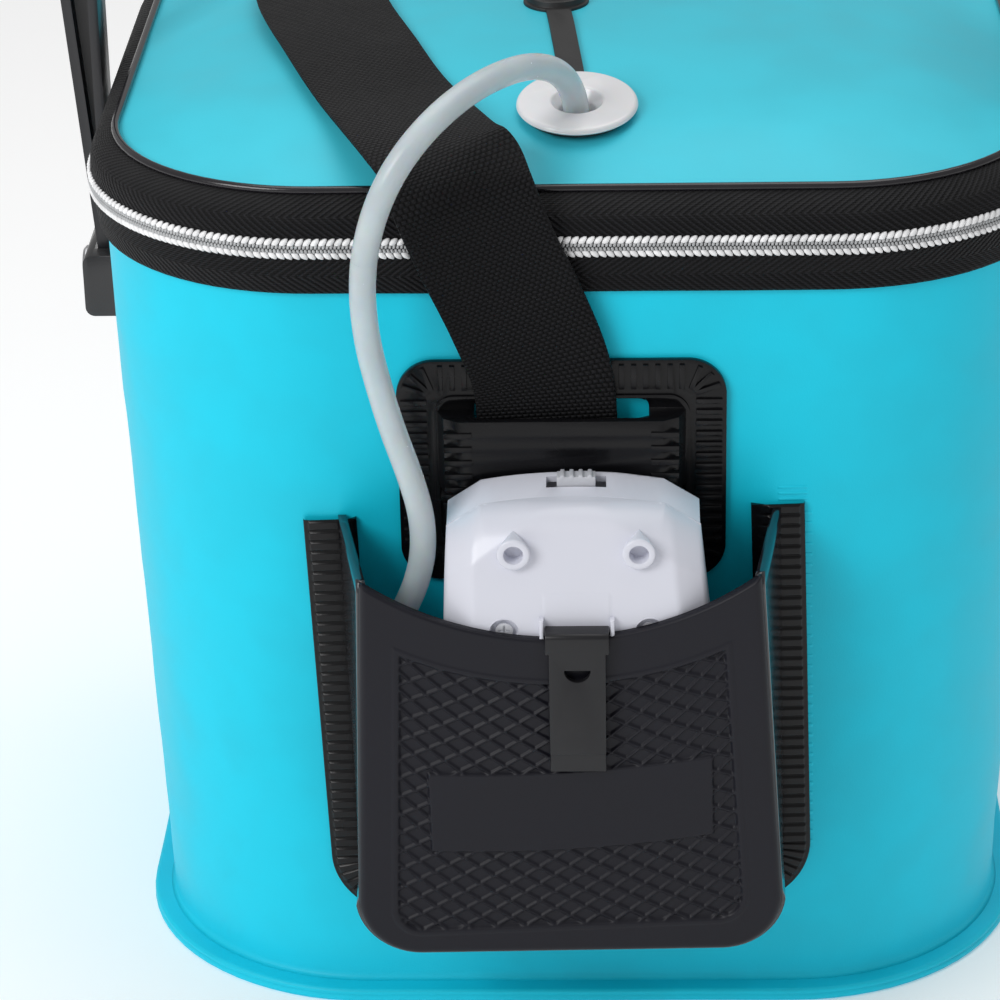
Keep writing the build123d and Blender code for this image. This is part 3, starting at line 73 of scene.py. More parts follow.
# ---- node graph helpers
class Graph:
    """Adds linked nodes to one node tree."""

    def __init__(self, tree: Tree) -> None:
        """Keeps the tree that the nodes go in."""
        self.tree = tree

    def put(self, socket: Socket, value: object) -> None:
        """Links a socket to another one, or sets it to a constant.

        Args:
            socket: The input to fill.
            value: An output socket, a number, a colour or vector, or None to leave it.
        """
        if value is None:
            return
        if isinstance(value, Socket):
            self.tree.links.new(value, socket)
            return
        if isinstance(value, tuple) and socket.type == "RGBA" and len(value) == 3:
            value = (*value, 1.0)
        socket.default_value = value

    def fill(self, node: Node, values: dict[str, object]) -> Node:
        """Fills a node's named inputs.

        Args:
            node: The node.
            values: Output sockets or constants by input name.

        Returns:
            The same node.
        """
        for key, value in values.items():
            self.put(node.inputs[key], value)
        return node

    def node(self, kind: str, *inputs: object, **settings: object) -> Node:
        """Adds a node and fills its inputs in order.

        Args:
            kind: The node's type name.
            inputs: Values for its inputs, None to leave one as it is.
            settings: Attributes of the node to set first.

        Returns:
            The new node.
        """
        made = self.tree.nodes.new(kind)
        for key, value in settings.items():
            setattr(made, key, value)
        for socket, value in zip(made.inputs, inputs):
            self.put(socket, value)
        return made

    def math(self, operation: str, *values: object, clamp: bool = False) -> Socket:
        """Output of one Math node."""
        return self.node("ShaderNodeMath", *values, operation=operation, use_clamp=clamp).outputs[0]

    def wave(self, turns: object, halves: float = 1.0) -> Socket:
        """Sine of turns that are as many half turns each."""
        return self.math("SINE", self.math("MULTIPLY", turns, halves * math.pi))

    def spread(self, value: object, low: float, high: float, start: float = 0.0) -> Socket:
        """Output of a clamped, smooth Map Range node that ends at 1.

        Args:
            value: What is mapped.
            low: Where the source range starts.
            high: Where it ends.
            start: Result at low.

        Returns:
            The output socket.
        """
        kind = {"interpolation_type": "SMOOTHSTEP"}
        return self.node("ShaderNodeMapRange", value, low, high, start, 1.0, **kind).outputs[0]

    def mix(self, share: object, first: object, second: object) -> Socket:
        """Output of a colour Mix node.

        Args:
            share: 0 for the first colour, 1 for the second.
            first: A colour.
            second: Another one.

        Returns:
            The output socket.
        """
        made = self.node("ShaderNodeMix", data_type="RGBA")
        for place, value in ((0, share), (6, first), (7, second)):
            self.put(made.inputs[place], value)
        return made.outputs[2]

    def noise(
        self, vector: object, scale: object, detail: float = 3.0, rough: float = 0.5
    ) -> Socket:
        """Value of a Noise texture.

        Args:
            vector: Where it is read.
            scale: Its scale.
            detail: Its octaves.
            rough: Weight of the finer octaves.

        Returns:
            The output socket.
        """
        made = self.node("ShaderNodeTexNoise")
        self.fill(made, {"Vector": vector, "Scale": scale, "Detail": detail, "Roughness": rough})
        return made.outputs[0]

    def place(self) -> Socket:
        """Object coordinates, which are the frame's own."""
        return self.node("ShaderNodeTexCoord").outputs["Object"]

    def cloth(self) -> Socket:
        """Coordinates along a strip, in metres, from its thread map."""
        return self.node("ShaderNodeUVMap", uv_map=THREAD_MAP).outputs[0]

    def bump(self, height: object, distance: float) -> Socket:
        """Normal over a height in units of distance."""
        values = {"Strength": 1.0, "Distance": distance, "Height": height}
        return self.fill(self.node("ShaderNodeBump"), values).outputs[0]

    def use(self, effect: str, **inputs: object) -> Node:
        """Adds a shared effect and fills its named inputs.

        Args:
            effect: Name of the effect.
            inputs: Values by socket name.

        Returns:
            The group node.
        """
        made = self.tree.nodes.new("ShaderNodeGroup")
        made.node_tree = SharedEffects.get(effect)
        return self.fill(made, inputs)


def new_group(
    name: str, inputs: dict[str, float], outputs: Sequence[str]
) -> tuple[Graph, bpy.types.bpy_prop_collection, Node]:
    """Makes an empty shader group that is read at a vector.

    Args:
        name: The group's name.
        inputs: Default of each value input.
        outputs: Names of the value outputs.

    Returns:
        A helper on its tree, its inputs by name and its output node.
    """
    tree = bpy.data.node_groups.new(name, "ShaderNodeTree")
    tree.interface.new_socket("Vector", in_out="INPUT", socket_type="NodeSocketVector")
    for label, default in inputs.items():
        socket = tree.interface.new_socket(label, in_out="INPUT", socket_type="NodeSocketFloat")
        socket.default_value = default
    for label in outputs:
        tree.interface.new_socket(label, in_out="OUTPUT", socket_type="NodeSocketFloat")
    given = tree.nodes.new("NodeGroupInput")
    return Graph(tree), given.outputs, tree.nodes.new("NodeGroupOutput")


class SharedEffects:
    """Shader groups that several finishes share, each built once."""

    _built: dict[str, Tree] = {}

    @classmethod
    def get(cls, name: str) -> Tree:
        """The group of that name, built the first time it is asked for."""
        if name not in cls._built:
            cls._built[name] = getattr(cls, name)()
        return cls._built[name]

    @staticmethod
    def grain() -> Tree:
        """Fine moulded grain: a pebbled height and a slow change of tone.

        Returns:
            The group, with outputs Height and Tone.
        """
        graph, given, result = new_group("surface_grain", {"Scale": 900.0}, ["Height", "Tone"])
        place, scale = given["Vector"], given["Scale"]
        fine = graph.noise(place, scale, 4.0, 0.6)
        cell = graph.fill(graph.node("ShaderNodeTexVoronoi"), {"Vector": place, "Scale": scale})
        height = graph.math("MULTIPLY_ADD", cell.outputs["Distance"], 0.5, fine)
        tone = graph.noise(place, graph.math("MULTIPLY", scale, 0.018), 2.0)
        graph.fill(result, {"Height": height, "Tone": graph.spread(tone, 0.3, 0.7)})
        return graph.tree

    @staticmethod
    def edge_wear() -> Tree:
        """Mask of rubbed convex edges, broken up by noise.

        Returns:
            The group, with output Mask.
        """
        graph, given, result = new_group("edge_wear", {"Amount": 0.5}, ["Mask"])
        pointed = graph.node("ShaderNodeNewGeometry").outputs["Pointiness"]
        edge = graph.spread(pointed, 0.52, 0.64)
        broken = graph.spread(graph.noise(given["Vector"], 160.0, 4.0, 0.65), 0.4, 0.7)
        mask = graph.math("MULTIPLY", graph.math("MULTIPLY", edge, broken), given["Amount"])
        graph.fill(result, {"Mask": mask})
        return graph.tree

    @staticmethod
    def dust() -> Tree:
        """Mask of dust on faces that look up.

        Returns:
            The group, with output Mask.
        """
        graph, given, result = new_group("dust_film", {"Amount": 0.1}, ["Mask"])
        normal = graph.node("ShaderNodeNewGeometry").outputs["Normal"]
        upward = graph.node("ShaderNodeSeparateXYZ", normal).outputs[2]
        lying = graph.spread(upward, 0.2, 1.0, 0.15)
        patchy = graph.noise(given["Vector"], 55.0, 5.0, 0.7)
        mask = graph.math("MULTIPLY", graph.math("MULTIPLY", lying, patchy), given["Amount"])
        graph.fill(result, {"Mask": mask})
        return graph.tree

    @staticmethod
    def basket_weave() -> Tree:
        """Plain weave of thick threads over a strip's own coordinates.

        Returns:
            The group, with outputs Height and Shade; Shade places the painted shade between the threads and
            the painted highlight on their tops.
        """
        sizes = {"Width": 0.0016, "Length": 0.002}
        graph, given, result = new_group("basket_weave", sizes, ["Height", "Shade"])
        parts = graph.node("ShaderNodeSeparateXYZ", given["Vector"])
        across = graph.math("DIVIDE", parts.outputs[0], given["Width"])
        along = graph.math("DIVIDE", parts.outputs[1], given["Length"])
        row = graph.math("MODULO", graph.math("FLOOR", along), 2.0)
        shifted = graph.math("MULTIPLY_ADD", row, 0.5, across)
        humps = [
            graph.math("POWER", graph.math("ABSOLUTE", graph.wave(turns)), 0.6) for turns in (shifted, along)
        ]
        height = graph.math("MULTIPLY", *humps)
        # Shade: painted shade in the gaps between threads and painted highlight on their tops, taken from the
        # thread height
        graph.fill(result, {"Height": height, "Shade": graph.spread(height, 0.1, 0.9)})
        return graph.tree

    @staticmethod
    def herringbone() -> Tree:
        """Diagonal ribs that turn back at every fold of a twill tape.

        Returns:
            The group, with outputs Height and Shade; Shade places the painted shade between the ribs and the
            painted highlight on their tops.
        """
        slope, sway, thread_width = 1.3, 0.0005, 0.00035
        sizes = {"Rib": 0.0011, "Fold": 0.007}
        graph, given, result = new_group("herringbone", sizes, ["Height", "Shade"])
        parts = graph.node("ShaderNodeSeparateXYZ", given["Vector"])
        fold = graph.math("PINGPONG", parts.outputs[1], given["Fold"])
        slant = graph.math("MULTIPLY_ADD", fold, slope, parts.outputs[0])
        wobble = graph.math("MULTIPLY", graph.noise(given["Vector"], 260.0, 2.0), sway)
        turn = graph.math("DIVIDE", graph.math("ADD", slant, wobble), given["Rib"])
        rib = graph.wave(turn, 2.0)
        thread = graph.wave(graph.math("DIVIDE", fold, thread_width))
        height = graph.math("MULTIPLY_ADD", thread, 0.16, graph.math("MULTIPLY_ADD", rib, 0.5, 0.5))
        # Shade: painted shade between the ribs and painted highlight on their tops, taken from the rib height
        graph.fill(result, {"Height": height, "Shade": graph.spread(height, 0.1, 1.0)})
        return graph.tree


# ---- finishes
DUST_COLOR: Color = (0.45, 0.43, 0.40)
LINT_COLOR: Color = (0.4, 0.4, 0.4)


@dataclass(frozen=True)
class Finish:
    """Base of every finish: a named material with a Principled shader.

    Attributes:
        name: The material's name.
        color: Base colour.
        roughness: Mean roughness.
    """

    name: str
    color: Color
    roughness: float = 0.45

    def material(self) -> bpy.types.Material:
        """The finish as a Blender material, built once.

        Returns:
            The material.
        """
        name = f"finish_{self.name}"
        found = bpy.data.materials.get(name)
        if found is not None:
            return found
        made = bpy.data.materials.new(name)
        made.use_nodes = True
        graph = Graph(made.node_tree)
        shader = made.node_tree.nodes["Principled BSDF"]
        graph.fill(shader, {"Base Color": self.color, "Roughness": self.roughness})
        self.dress(graph, shader)
        return made

    def dress(self, graph: Graph, shader: Node) -> None:
        """Adds what is particular to the finish.

        Args:
            graph: Helper on its tree.
            shader: Its Principled node.
        """
        raise NotImplementedError

    def tone(self, share: float) -> Color:
        """The base colour, made lighter or darker by a share."""
        return tuple(min(1.0, channel * share) for channel in self.color)


@dataclass(frozen=True)
class MouldedFinish(Finish):
    """Moulded plastic, sheet or rubber with grain, worn edges and a little dust.

    Attributes:
        grain_scale: Grains per metre.
        grain_depth: Height of the grain in metres.
        wear: How much paler the edges are.
        dust: How much dust lies on it.
        coat: Clear gloss over it.
        spec: Specular level.
        subsurface: Share of light that goes in.
        contrast: How far the slow tone changes the colour.
    """

    grain_scale: float = 900.0
    grain_depth: float = 0.00004
    wear: float = 0.4
    dust: float = 0.05
    coat: float = 0.0
    spec: float = 0.5
    subsurface: float = 0.0
    contrast: float = 0.06

    def dress(self, graph: Graph, shader: Node) -> None:
        """Builds grain, wear and dust.

        Args:
            graph: Helper on its tree.
            shader: Its Principled node.
        """
        place = graph.place()
        grain = graph.use("grain", Vector=place, Scale=self.grain_scale)
        wear = graph.use("edge_wear", Vector=place, Amount=self.wear)
        dust = graph.use("dust", Vector=place, Amount=self.dust)
        tone = graph.mix(grain.outputs["Tone"], self.tone(1 - self.contrast), self.tone(1 + self.contrast))
        pale = tuple(min(1.0, channel * 1.3 + 0.06) for channel in self.color)
        worn = graph.mix(wear.outputs["Mask"], tone, pale)
        rough = graph.math("MULTIPLY_ADD", grain.outputs["Tone"], 0.08, self.roughness - 0.04)
        graph.fill(shader, {
            "Base Color": graph.mix(dust.outputs["Mask"], worn, DUST_COLOR),
            "Roughness": graph.math("MULTIPLY_ADD", dust.outputs["Mask"], 0.5, rough, clamp=True),
            "Normal": graph.bump(grain.outputs["Height"], self.grain_depth),
            "Specular IOR Level": self.spec,
            "Coat Weight": self.coat,
            "Coat Roughness": 0.12,
        })
        if self.subsurface:
            graph.fill(shader, {"Subsurface Weight": self.subsurface, "Subsurface Scale": 0.002})


class Weave(Enum):
    """Ways in which the fabrics are woven: the effect and its two sizes."""

    BASKET = ("basket_weave", "Width", "Length")
    HERRINGBONE = ("herringbone", "Rib", "Fold")


@dataclass(frozen=True)
class WovenFinish(Finish):
    """Woven fabric on a strip that has a thread map.

    Attributes:
        weave: Which weave it is.
        first: Thread width, or rib pitch, in metres.
        second: Thread length, or fold width, in metres.
        depth: Height of the threads in metres.
        sheen: Sheen weight.
        shadow: Painted shade between the threads, as a share of the colour.
        light: Painted highlight on top of them.
        spec: Specular level.
    """

    weave: Weave = Weave.BASKET
    first: float = 0.0016
    second: float = 0.002
    depth: float = 0.0004
    sheen: float = 0.3
    shadow: float = 0.35
    light: float = 1.9
    spec: float = 0.16

    def dress(self, graph: Graph, shader: Node) -> None:
        """Builds the threads, the painted shade between them and the painted highlight on their tops, their
        sheen and a little lint.

        Args:
            graph: Helper on its tree.
            shader: Its Principled node.
        """
        cloth = graph.cloth()
        effect, wide, long = self.weave.value
        woven = graph.use(effect, **{"Vector": cloth, wide: self.first, long: self.second})
        fuzz = graph.noise(cloth, 2600.0, 2.0)
        uneven = graph.math("SUBTRACT", fuzz, 0.5)
        shade = graph.math("MULTIPLY_ADD", uneven, 0.5, woven.outputs["Shade"], clamp=True)
        # painted shade between the threads and painted highlight on their tops, mixed by the weave's Shade
        painted_thread_shade = graph.mix(shade, self.tone(self.shadow), self.tone(self.light))
        dust = graph.use("dust", Vector=graph.place(), Amount=0.05)
        graph.fill(shader, {
            "Base Color": graph.mix(dust.outputs["Mask"], painted_thread_shade, LINT_COLOR),
            "Roughness": graph.math("MULTIPLY_ADD", fuzz, 0.2, self.roughness - 0.1, clamp=True),
            "Normal": graph.bump(woven.outputs["Height"], self.depth),
            "Sheen Weight": self.sheen,
            "Sheen Roughness": 0.4,
            "Specular IOR Level": self.spec,
        })


@dataclass(frozen=True)
class MetalFinish(Finish):
    """Plated metal, or bright plastic, with fine rubbing marks.

    Attributes:
        metallic: Metallic share.
    """

    metallic: float = 1.0

    def dress(self, graph: Graph, shader: Node) -> None:
        """Builds rub marks and slight tarnish.

        Args:
            graph: Helper on its tree.
            shader: Its Principled node.
        """
        place = graph.place()
        rub = graph.noise(place, 1400.0, 3.0, 0.7)
        stain = graph.spread(graph.noise(place, 90.0, 4.0, 0.6), 0.35, 0.7)
        graph.fill(shader, {
            "Base Color": graph.mix(stain, self.color, self.tone(0.78)),
            "Roughness": graph.math("MULTIPLY_ADD", rub, 0.16, self.roughness - 0.08),
            "Normal": graph.bump(rub, 0.00001),
            "Metallic": self.metallic,
        })


@dataclass(frozen=True)
class SiliconeFinish(Finish):
    """Translucent silicone tube.

    Attributes:
        clarity: Transmission weight.
    """

    clarity: float = 0.5

    def dress(self, graph: Graph, shader: Node) -> None:
        """Builds the milky body, slow clouding and fine drag marks.

        Args:
            graph: Helper on its tree.
            shader: Its Principled node.
        """
        place = graph.place()
        cloud = graph.spread(graph.noise(place, 60.0, 3.0, 0.55), 0.3, 0.7)
        drag = graph.noise(place, 700.0, 2.0)
        graph.fill(shader, {
            "Base Color": graph.mix(cloud, self.tone(0.93), self.color),
            "Roughness": graph.math("MULTIPLY_ADD", drag, 0.12, self.roughness - 0.06),
            "Normal": graph.bump(drag, 0.000006),
            "Transmission Weight": self.clarity,
            "IOR": 1.41,
            "Subsurface Weight": 0.25,
            "Subsurface Scale": 0.004,
        })


EVA_TUB = MouldedFinish(
    "eva_tub", (0.004, 0.625, 0.830), 0.50, 2200, 0.00003, 0.1, 0.004, spec=0.30, contrast=0.03
)
# The lid's EVA: the tub's colour made greyer, a painted reflection of the pale surroundings on the lid's top.
EVA_LID_PAINTED_REFLECTION = MouldedFinish(
    "eva_lid", (0.055, 0.610, 0.760), 0.48, 2200, 0.00003, 0.1, 0.004, spec=0.30, contrast=0.03
)
# Woven finishes paint shade between their threads and a highlight on their tops: 0.3 and 2.8 times the colour
# on the zip tape, 0.2 and 3.0 on the webbing, 0.35 and 1.9 on the binding.
ZIP_TAPE = WovenFinish(
    "zip_tape", (0.0042, 0.0042, 0.005), 0.66, Weave.HERRINGBONE, 0.0023, 0.011, 0.0005, 0.02, 0.3, 2.8
)
BINDING = WovenFinish("rim_cloth", (0.012, 0.012, 0.013), 0.7, Weave.BASKET, 0.0009, 0.0009, 0.0002, 0.2)
WEBBING = WovenFinish(
    "webbing", (0.0028, 0.0028, 0.0034), 0.56, Weave.BASKET, 0.0018, 0.0012, 0.0006, 0.02, 0.2, 3.0, 0.13
)
COIL = MetalFinish("zip_coil", (0.97, 0.97, 0.98), 0.40, 0.0)
# Grey copy of the coil's colour for the turns in the middle: painted shade where the two rows mesh.
COIL_PAINTED_SHADE = MetalFinish("zip_shaded_middle", (0.50, 0.51, 0.52), 0.40, 0.1)
WELT = MouldedFinish("welt_vinyl", (0.010, 0.009, 0.012), 0.20, 1200, 0.00001, 0.2, 0.01, 0.2, 0.45)
WHITE_GLOSS = MouldedFinish(
    "white_gloss", (0.80, 0.80, 0.82), 0.24, 500, 0.000006, 0.0, 0.01, 0.25, 0.5, 0.1, 0.01
)
PUMP_SHELL = MouldedFinish(
    "pump_shell", (0.70, 0.71, 0.79), 0.32, 420, 0.000008, 0.05, 0.01, 0.12, contrast=0.01
)
BLACK_RUBBER = MouldedFinish("black_rubber", (0.012, 0.012, 0.013), 0.5, 1500, 0.00003, 0.3, 0.04)
POCKET_PVC = MouldedFinish("pocket_pvc", (0.0080, 0.0080, 0.0130), 0.44, 1500, 0.00002, 0.2, 0.004, spec=0.24)
GUSSET_PVC = MouldedFinish("gusset_pvc", (0.010, 0.011, 0.015), 0.16, 1500, 0.00001, 0.3, 0.006, 0.5)
PATCH_PVC = MouldedFinish("patch_pvc", (0.004, 0.004, 0.005), 0.26, 1200, 0.00002, 0.2, 0.004, spec=0.26)
BLACK_GLOSS = MouldedFinish("black_gloss", (0.014, 0.014, 0.016), 0.28, 900, 0.00001, 0.4, 0.02, 0.2)
BAIL_PLASTIC = MouldedFinish("bail_plastic", (0.016, 0.016, 0.019), 0.32, 1100, 0.00002, 0.4, 0.04, 0.1)
CLIP_PLASTIC = MouldedFinish("clip_plastic", (0.010, 0.010, 0.012), 0.34, 900, 0.00001, 0.2, 0.01, spec=0.35)
SWITCH_GREY = MouldedFinish("switch_grey", (0.55, 0.56, 0.60), 0.30, 900, 0.00001, 0.2, 0.01, 0.1)
ACETAL = MouldedFinish("acetal", (0.70, 0.69, 0.64), 0.4, 900, 0.00001, 0.1, 0.01)
CELL_SLEEVE = MouldedFinish("cell_sleeve", (0.10, 0.11, 0.13), 0.3, 700, 0.00001, 0.2, 0.0, 0.5)
STONE_GRIT = MouldedFinish("stone_grit", (0.20, 0.25, 0.33), 0.85, 1300, 0.0006, 0.3, 0.0)
STEEL = MetalFinish("plated_steel", (0.62, 0.62, 0.64), 0.28)
SCREW_BRIGHT = MetalFinish("screw_bright", (0.72, 0.73, 0.78), 0.45, 0.3)
SILICONE = SiliconeFinish("silicone", (0.84, 0.92, 0.96), 0.24)


# ---- mesh helpers
def new_object(
    name: str, vertices: Sequence[Sequence[float]], faces: Sequence[Sequence[int]], finish: Finish
) -> Object:
    """Makes a smooth-shaded mesh object in the scene.

    Args:
        name: Piece name.
        vertices: Points in metres.
        faces: Vertex indices of each face.
        finish: Its finish.

    Returns:
        The object.
    """
    mesh = bpy.data.meshes.new(name)
    mesh.from_pydata([tuple(map(float, v)) for v in vertices], [], [tuple(map(int, f)) for f in faces])
    mesh.materials.append(finish.material())
    mesh.polygons.foreach_set("use_smooth", [True] * len(mesh.polygons))
    mesh.validate()
    made = bpy.data.objects.new(name, mesh)
    bpy.context.scene.collection.objects.link(made)
    return made


def travelled(points: Array) -> Array:
    """Distance run along a line at each of its points."""
    return np.concatenate([[0], np.cumsum(np.linalg.norm(np.diff(points, axis=0), axis=1))])


def crease(made: Object, degrees: float) -> None:
    """Shades edges sharper than an angle as crisp ones."""
    made.data.set_sharp_from_angle(angle=math.radians(degrees))


def band(
    name: str, rings: Sequence[Array], finish: Finish, closed: bool = False, wrap: bool = True
) -> Object:
    """Skins rows of points and gives them a thread map in metres.

    Args:
        name: Piece name.
        rings: Rows of as many points each.
        finish: Its finish.
        closed: Whether the last row joins the first.
        wrap: Whether each row is a closed loop.

    Returns:
        The object.
    """
    rows = np.array(rings)
    count, width = rows.shape[:2]
    points = rows.reshape(-1, 3)
    loop_rows = count if closed else count - 1
    loop_cols = width if wrap else width - 1
    along = travelled(rows[0])
    lap = along[-1] + np.linalg.norm(rows[0][0] - rows[0][-1])
    up = travelled(rows[:, width // 2])
    faces, corners = [], []
    for i in range(loop_rows):
        j = (i + 1) % count
        next_up = up[i + 1] if i + 1 < count else up[-1]
        for k in range(loop_cols):
            m = (k + 1) % width
            next_along = along[k + 1] if k + 1 < width else lap
            faces.append((i * width + k, i * width + m, j * width + m, j * width + k))
            corners += [(along[k], up[i]), (next_along, up[i]), (next_along, next_up), (along[k], next_up)]
    made = new_object(name, points, faces, finish)
    threads = made.data.uv_layers.new(name=THREAD_MAP)
    threads.data.foreach_set("uv", np.array(corners, np.float32).ravel())
    return made


def tube_rows(path: Array, radius: float, sides: int) -> list[Array]:
    """Circles along a path, with frames that don't twist.

    Args:
        path: Points of the centreline.
        radius: Radius in metres.
        sides: Points on each circle.

    Returns:
        One row of points for each path point.
    """
    tangents = np.gradient(path, axis=0)
    tangents /= np.linalg.norm(tangents, axis=1)[:, None]
    side = np.cross(tangents[0], (0.0, 0.0, 1.0))
    if np.linalg.norm(side) < 1e-6:
        side = np.array((1.0, 0.0, 0.0))
    angles = np.linspace(0, 2 * math.pi, sides, endpoint=False)
    rows = []
    for point, tangent in zip(path, tangents):
        side = side - tangent * (side @ tangent)
        side /= np.linalg.norm(side)
        other = np.cross(tangent, side)
        rows.append(point + radius * (np.outer(np.cos(angles), side) + np.outer(np.sin(angles), other)))
    return rows


def apply_modifiers(made: Object) -> None:
    """Bakes an object's modifiers into its mesh.

    Args:
        made: The object.
    """
    graph = bpy.context.evaluated_depsgraph_get()
    mesh = bpy.data.meshes.new_from_object(made.evaluated_get(graph), depsgraph=graph)
    made.modifiers.clear()
    made.data = mesh


def softened(node: str, finish: Finish, width: float, body: str, angle: float = 32.0) -> Object:
    """Copy of a rigid node with small rounded edges, which stands for it.

    Args:
        node: Node name.
        finish: Its finish.
        width: Width of the edge rounding in metres.
        body: Body that it rides on.
        angle: Edges sharper than this many degrees are rounded.

    Returns:
        The new object.
    """
    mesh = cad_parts[node].data.copy()
    mesh.name = f"{node}_soft"
    work = bmesh.new()
    work.from_mesh(mesh)
    bmesh.ops.remove_doubles(work, verts=work.verts, dist=2e-6)
    bmesh.ops.dissolve_limit(work, angle_limit=math.radians(0.8), verts=work.verts, edges=work.edges)
    work.to_mesh(mesh)
    work.free()
    mesh.materials.clear()
    mesh.materials.append(finish.material())
    made = bpy.data.objects.new(f"{node}_soft", mesh)
    bpy.context.scene.collection.objects.link(made)
    bevel = made.modifiers.new("edges", "BEVEL")
    bevel.width = width
    bevel.segments = 2
    bevel.limit_method = "ANGLE"
    bevel.angle_limit = math.radians(angle)
    bevel.use_clamp_overlap = True
    apply_modifiers(made)
    made.data.polygons.foreach_set("use_smooth", [True] * len(made.data.polygons))
    crease(made, angle)
    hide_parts(node)
    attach(made, body)
    return made


def dress_node(node: str, finish: Finish) -> None:
    """Gives a node that stays its finish, with its shading left as packed.

    Args:
        node: Node name.
        finish: Its finish.
    """
    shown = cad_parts[node]
    if shown.material_slots:
        for held in shown.material_slots:
            held.material = finish.material()
    else:
        shown.data.materials.append(finish.material())


# ---- the form that most pieces share
@dataclass(frozen=True)
class BucketForm:
    """Outline of the bucket at any height.

    Attributes:
        width: Across the walls at the zip.
        depth: Front to back at the zip.
        corner: Corner radius.
        zip_height: Middle of the zip.
        lean: How much further in each wall stands at the floor.
        straight: Steps on each straight of a loop.
        turn: Steps on each of its corners.
    """

    width: float = 280 * MM
    depth: float = 260 * MM
    corner: float = 67 * MM
    zip_height: float = 252 * MM
    lean: float = 7.6 * MM
    straight: int = 26
    turn: int = 18

    @property
    def tilt(self) -> float:
        """Angle at which the walls lean."""
        return math.atan(self.lean / self.zip_height)

    @property
    def foot(self) -> float:
        """Place along Y where the front wall meets the floor."""
        return self.lean - self.depth / 2

    def ring(self, z: float, grow: float, leaning: bool = True) -> Array:
        """Closed loop of points round the bucket, from the left end of its back.

        Args:
            z: Height.
            grow: How far outside the wall line it runs.
            leaning: Whether the wall line leans with height.

        Returns:
            An array of points.
        """
        inward = self.lean * (1 - z / self.zip_height) if leaning else 0.0
        half_x = self.width / 2 - inward + grow
        half_y = self.depth / 2 - inward + grow
        radius = self.corner + grow
        arcs: list[list[Point]] = []
        for sign_x, sign_y, start in ((-1, 1, 90), (-1, -1, 180), (1, -1, 270), (1, 1, 360)):
            turns = [math.radians(start + 90.0 * step / self.turn) for step in range(self.turn + 1)]
            x, y = sign_x * (half_x - radius), sign_y * (half_y - radius)
            arcs.append([(x + radius * math.cos(a), y + radius * math.sin(a), z) for a in turns])
        points: list[Point] = []
        for arc, following in zip(arcs, arcs[1:] + arcs[:1]):
            points += arc
            for step in range(1, self.straight):
                share = step / self.straight
                points.append(tuple(a + (b - a) * share for a, b in zip(arc[-1], following[0])))
        return np.array(points)

    def rings(self, profile: Rows | Array, leaning: bool = True) -> list[Array]:
        """One loop for each height and growth of a profile."""
        return [self.ring(z, grow, leaning) for z, grow in profile]

    def front(self, x: float | Array, up: float | Array, out: float | Array) -> Array:
        """Points given across the front wall, up it and out from it, in the scene.

        Args:
            x: Across the wall.
            up: Distance up the wall.
            out: Distance out from it.

        Returns:
            The points, with their coordinates last.
        """
        y = self.foot - np.sin(self.tilt) * up - np.cos(self.tilt) * out
        z = np.cos(self.tilt) * up - np.sin(self.tilt) * out
        return np.stack(np.broadcast_arrays(x, y, z), axis=-1).astype(float)

    def from_front(self, points: Array) -> Array:
        """Points of the scene, across the front wall, up it and out from it.

        Args:
            points: Points in the scene, their coordinates last.

        Returns:
            The same points in the wall's own coordinates.
        """
        y, z = points[..., 1] - self.foot, points[..., 2]
        up = np.cos(self.tilt) * z - np.sin(self.tilt) * y
        out = -np.cos(self.tilt) * y - np.sin(self.tilt) * z
        return np.stack([points[..., 0], up, out], axis=-1)


FORM = BucketForm()


def in_mm(rows: Rows, z: float = 0.0, out: float = 0.0) -> list[Pair]:
    """Pairs of distances in mm as metres, up from a height and out from a line."""
    return [(z + up * MM, out + away * MM) for up, away in rows]


def drawn_in(loop: Array, shares: Sequence[float]) -> list[Array]:
    """The loop, drawn in towards the middle on plan by each share."""
    return [loop * np.array((share, share, 1.0)) for share in shares]


def ripple(points: Array, size: float, wave: float, seed: float = 0.0) -> Array:
    """Smooth, repeatable unevenness at each point.

    Args:
        points: Array of points.
        size: Greatest distance.
        wave: Wavelength in metres.
        seed: Shifts the pattern.

    Returns:
        One signed distance for each point.
    """
    k = 2 * math.pi / wave
    x, y, z = points.T
    mixed = (
        np.sin(k * x + 1.3 * k * z + seed)
        + np.sin(0.7 * k * y - 1.1 * k * z + 2.1 * seed + 1.0)
        + np.sin(1.9 * k * z + 0.6 * k * (x + y) + 0.4 * seed)
    )
    return size * mixed / 3


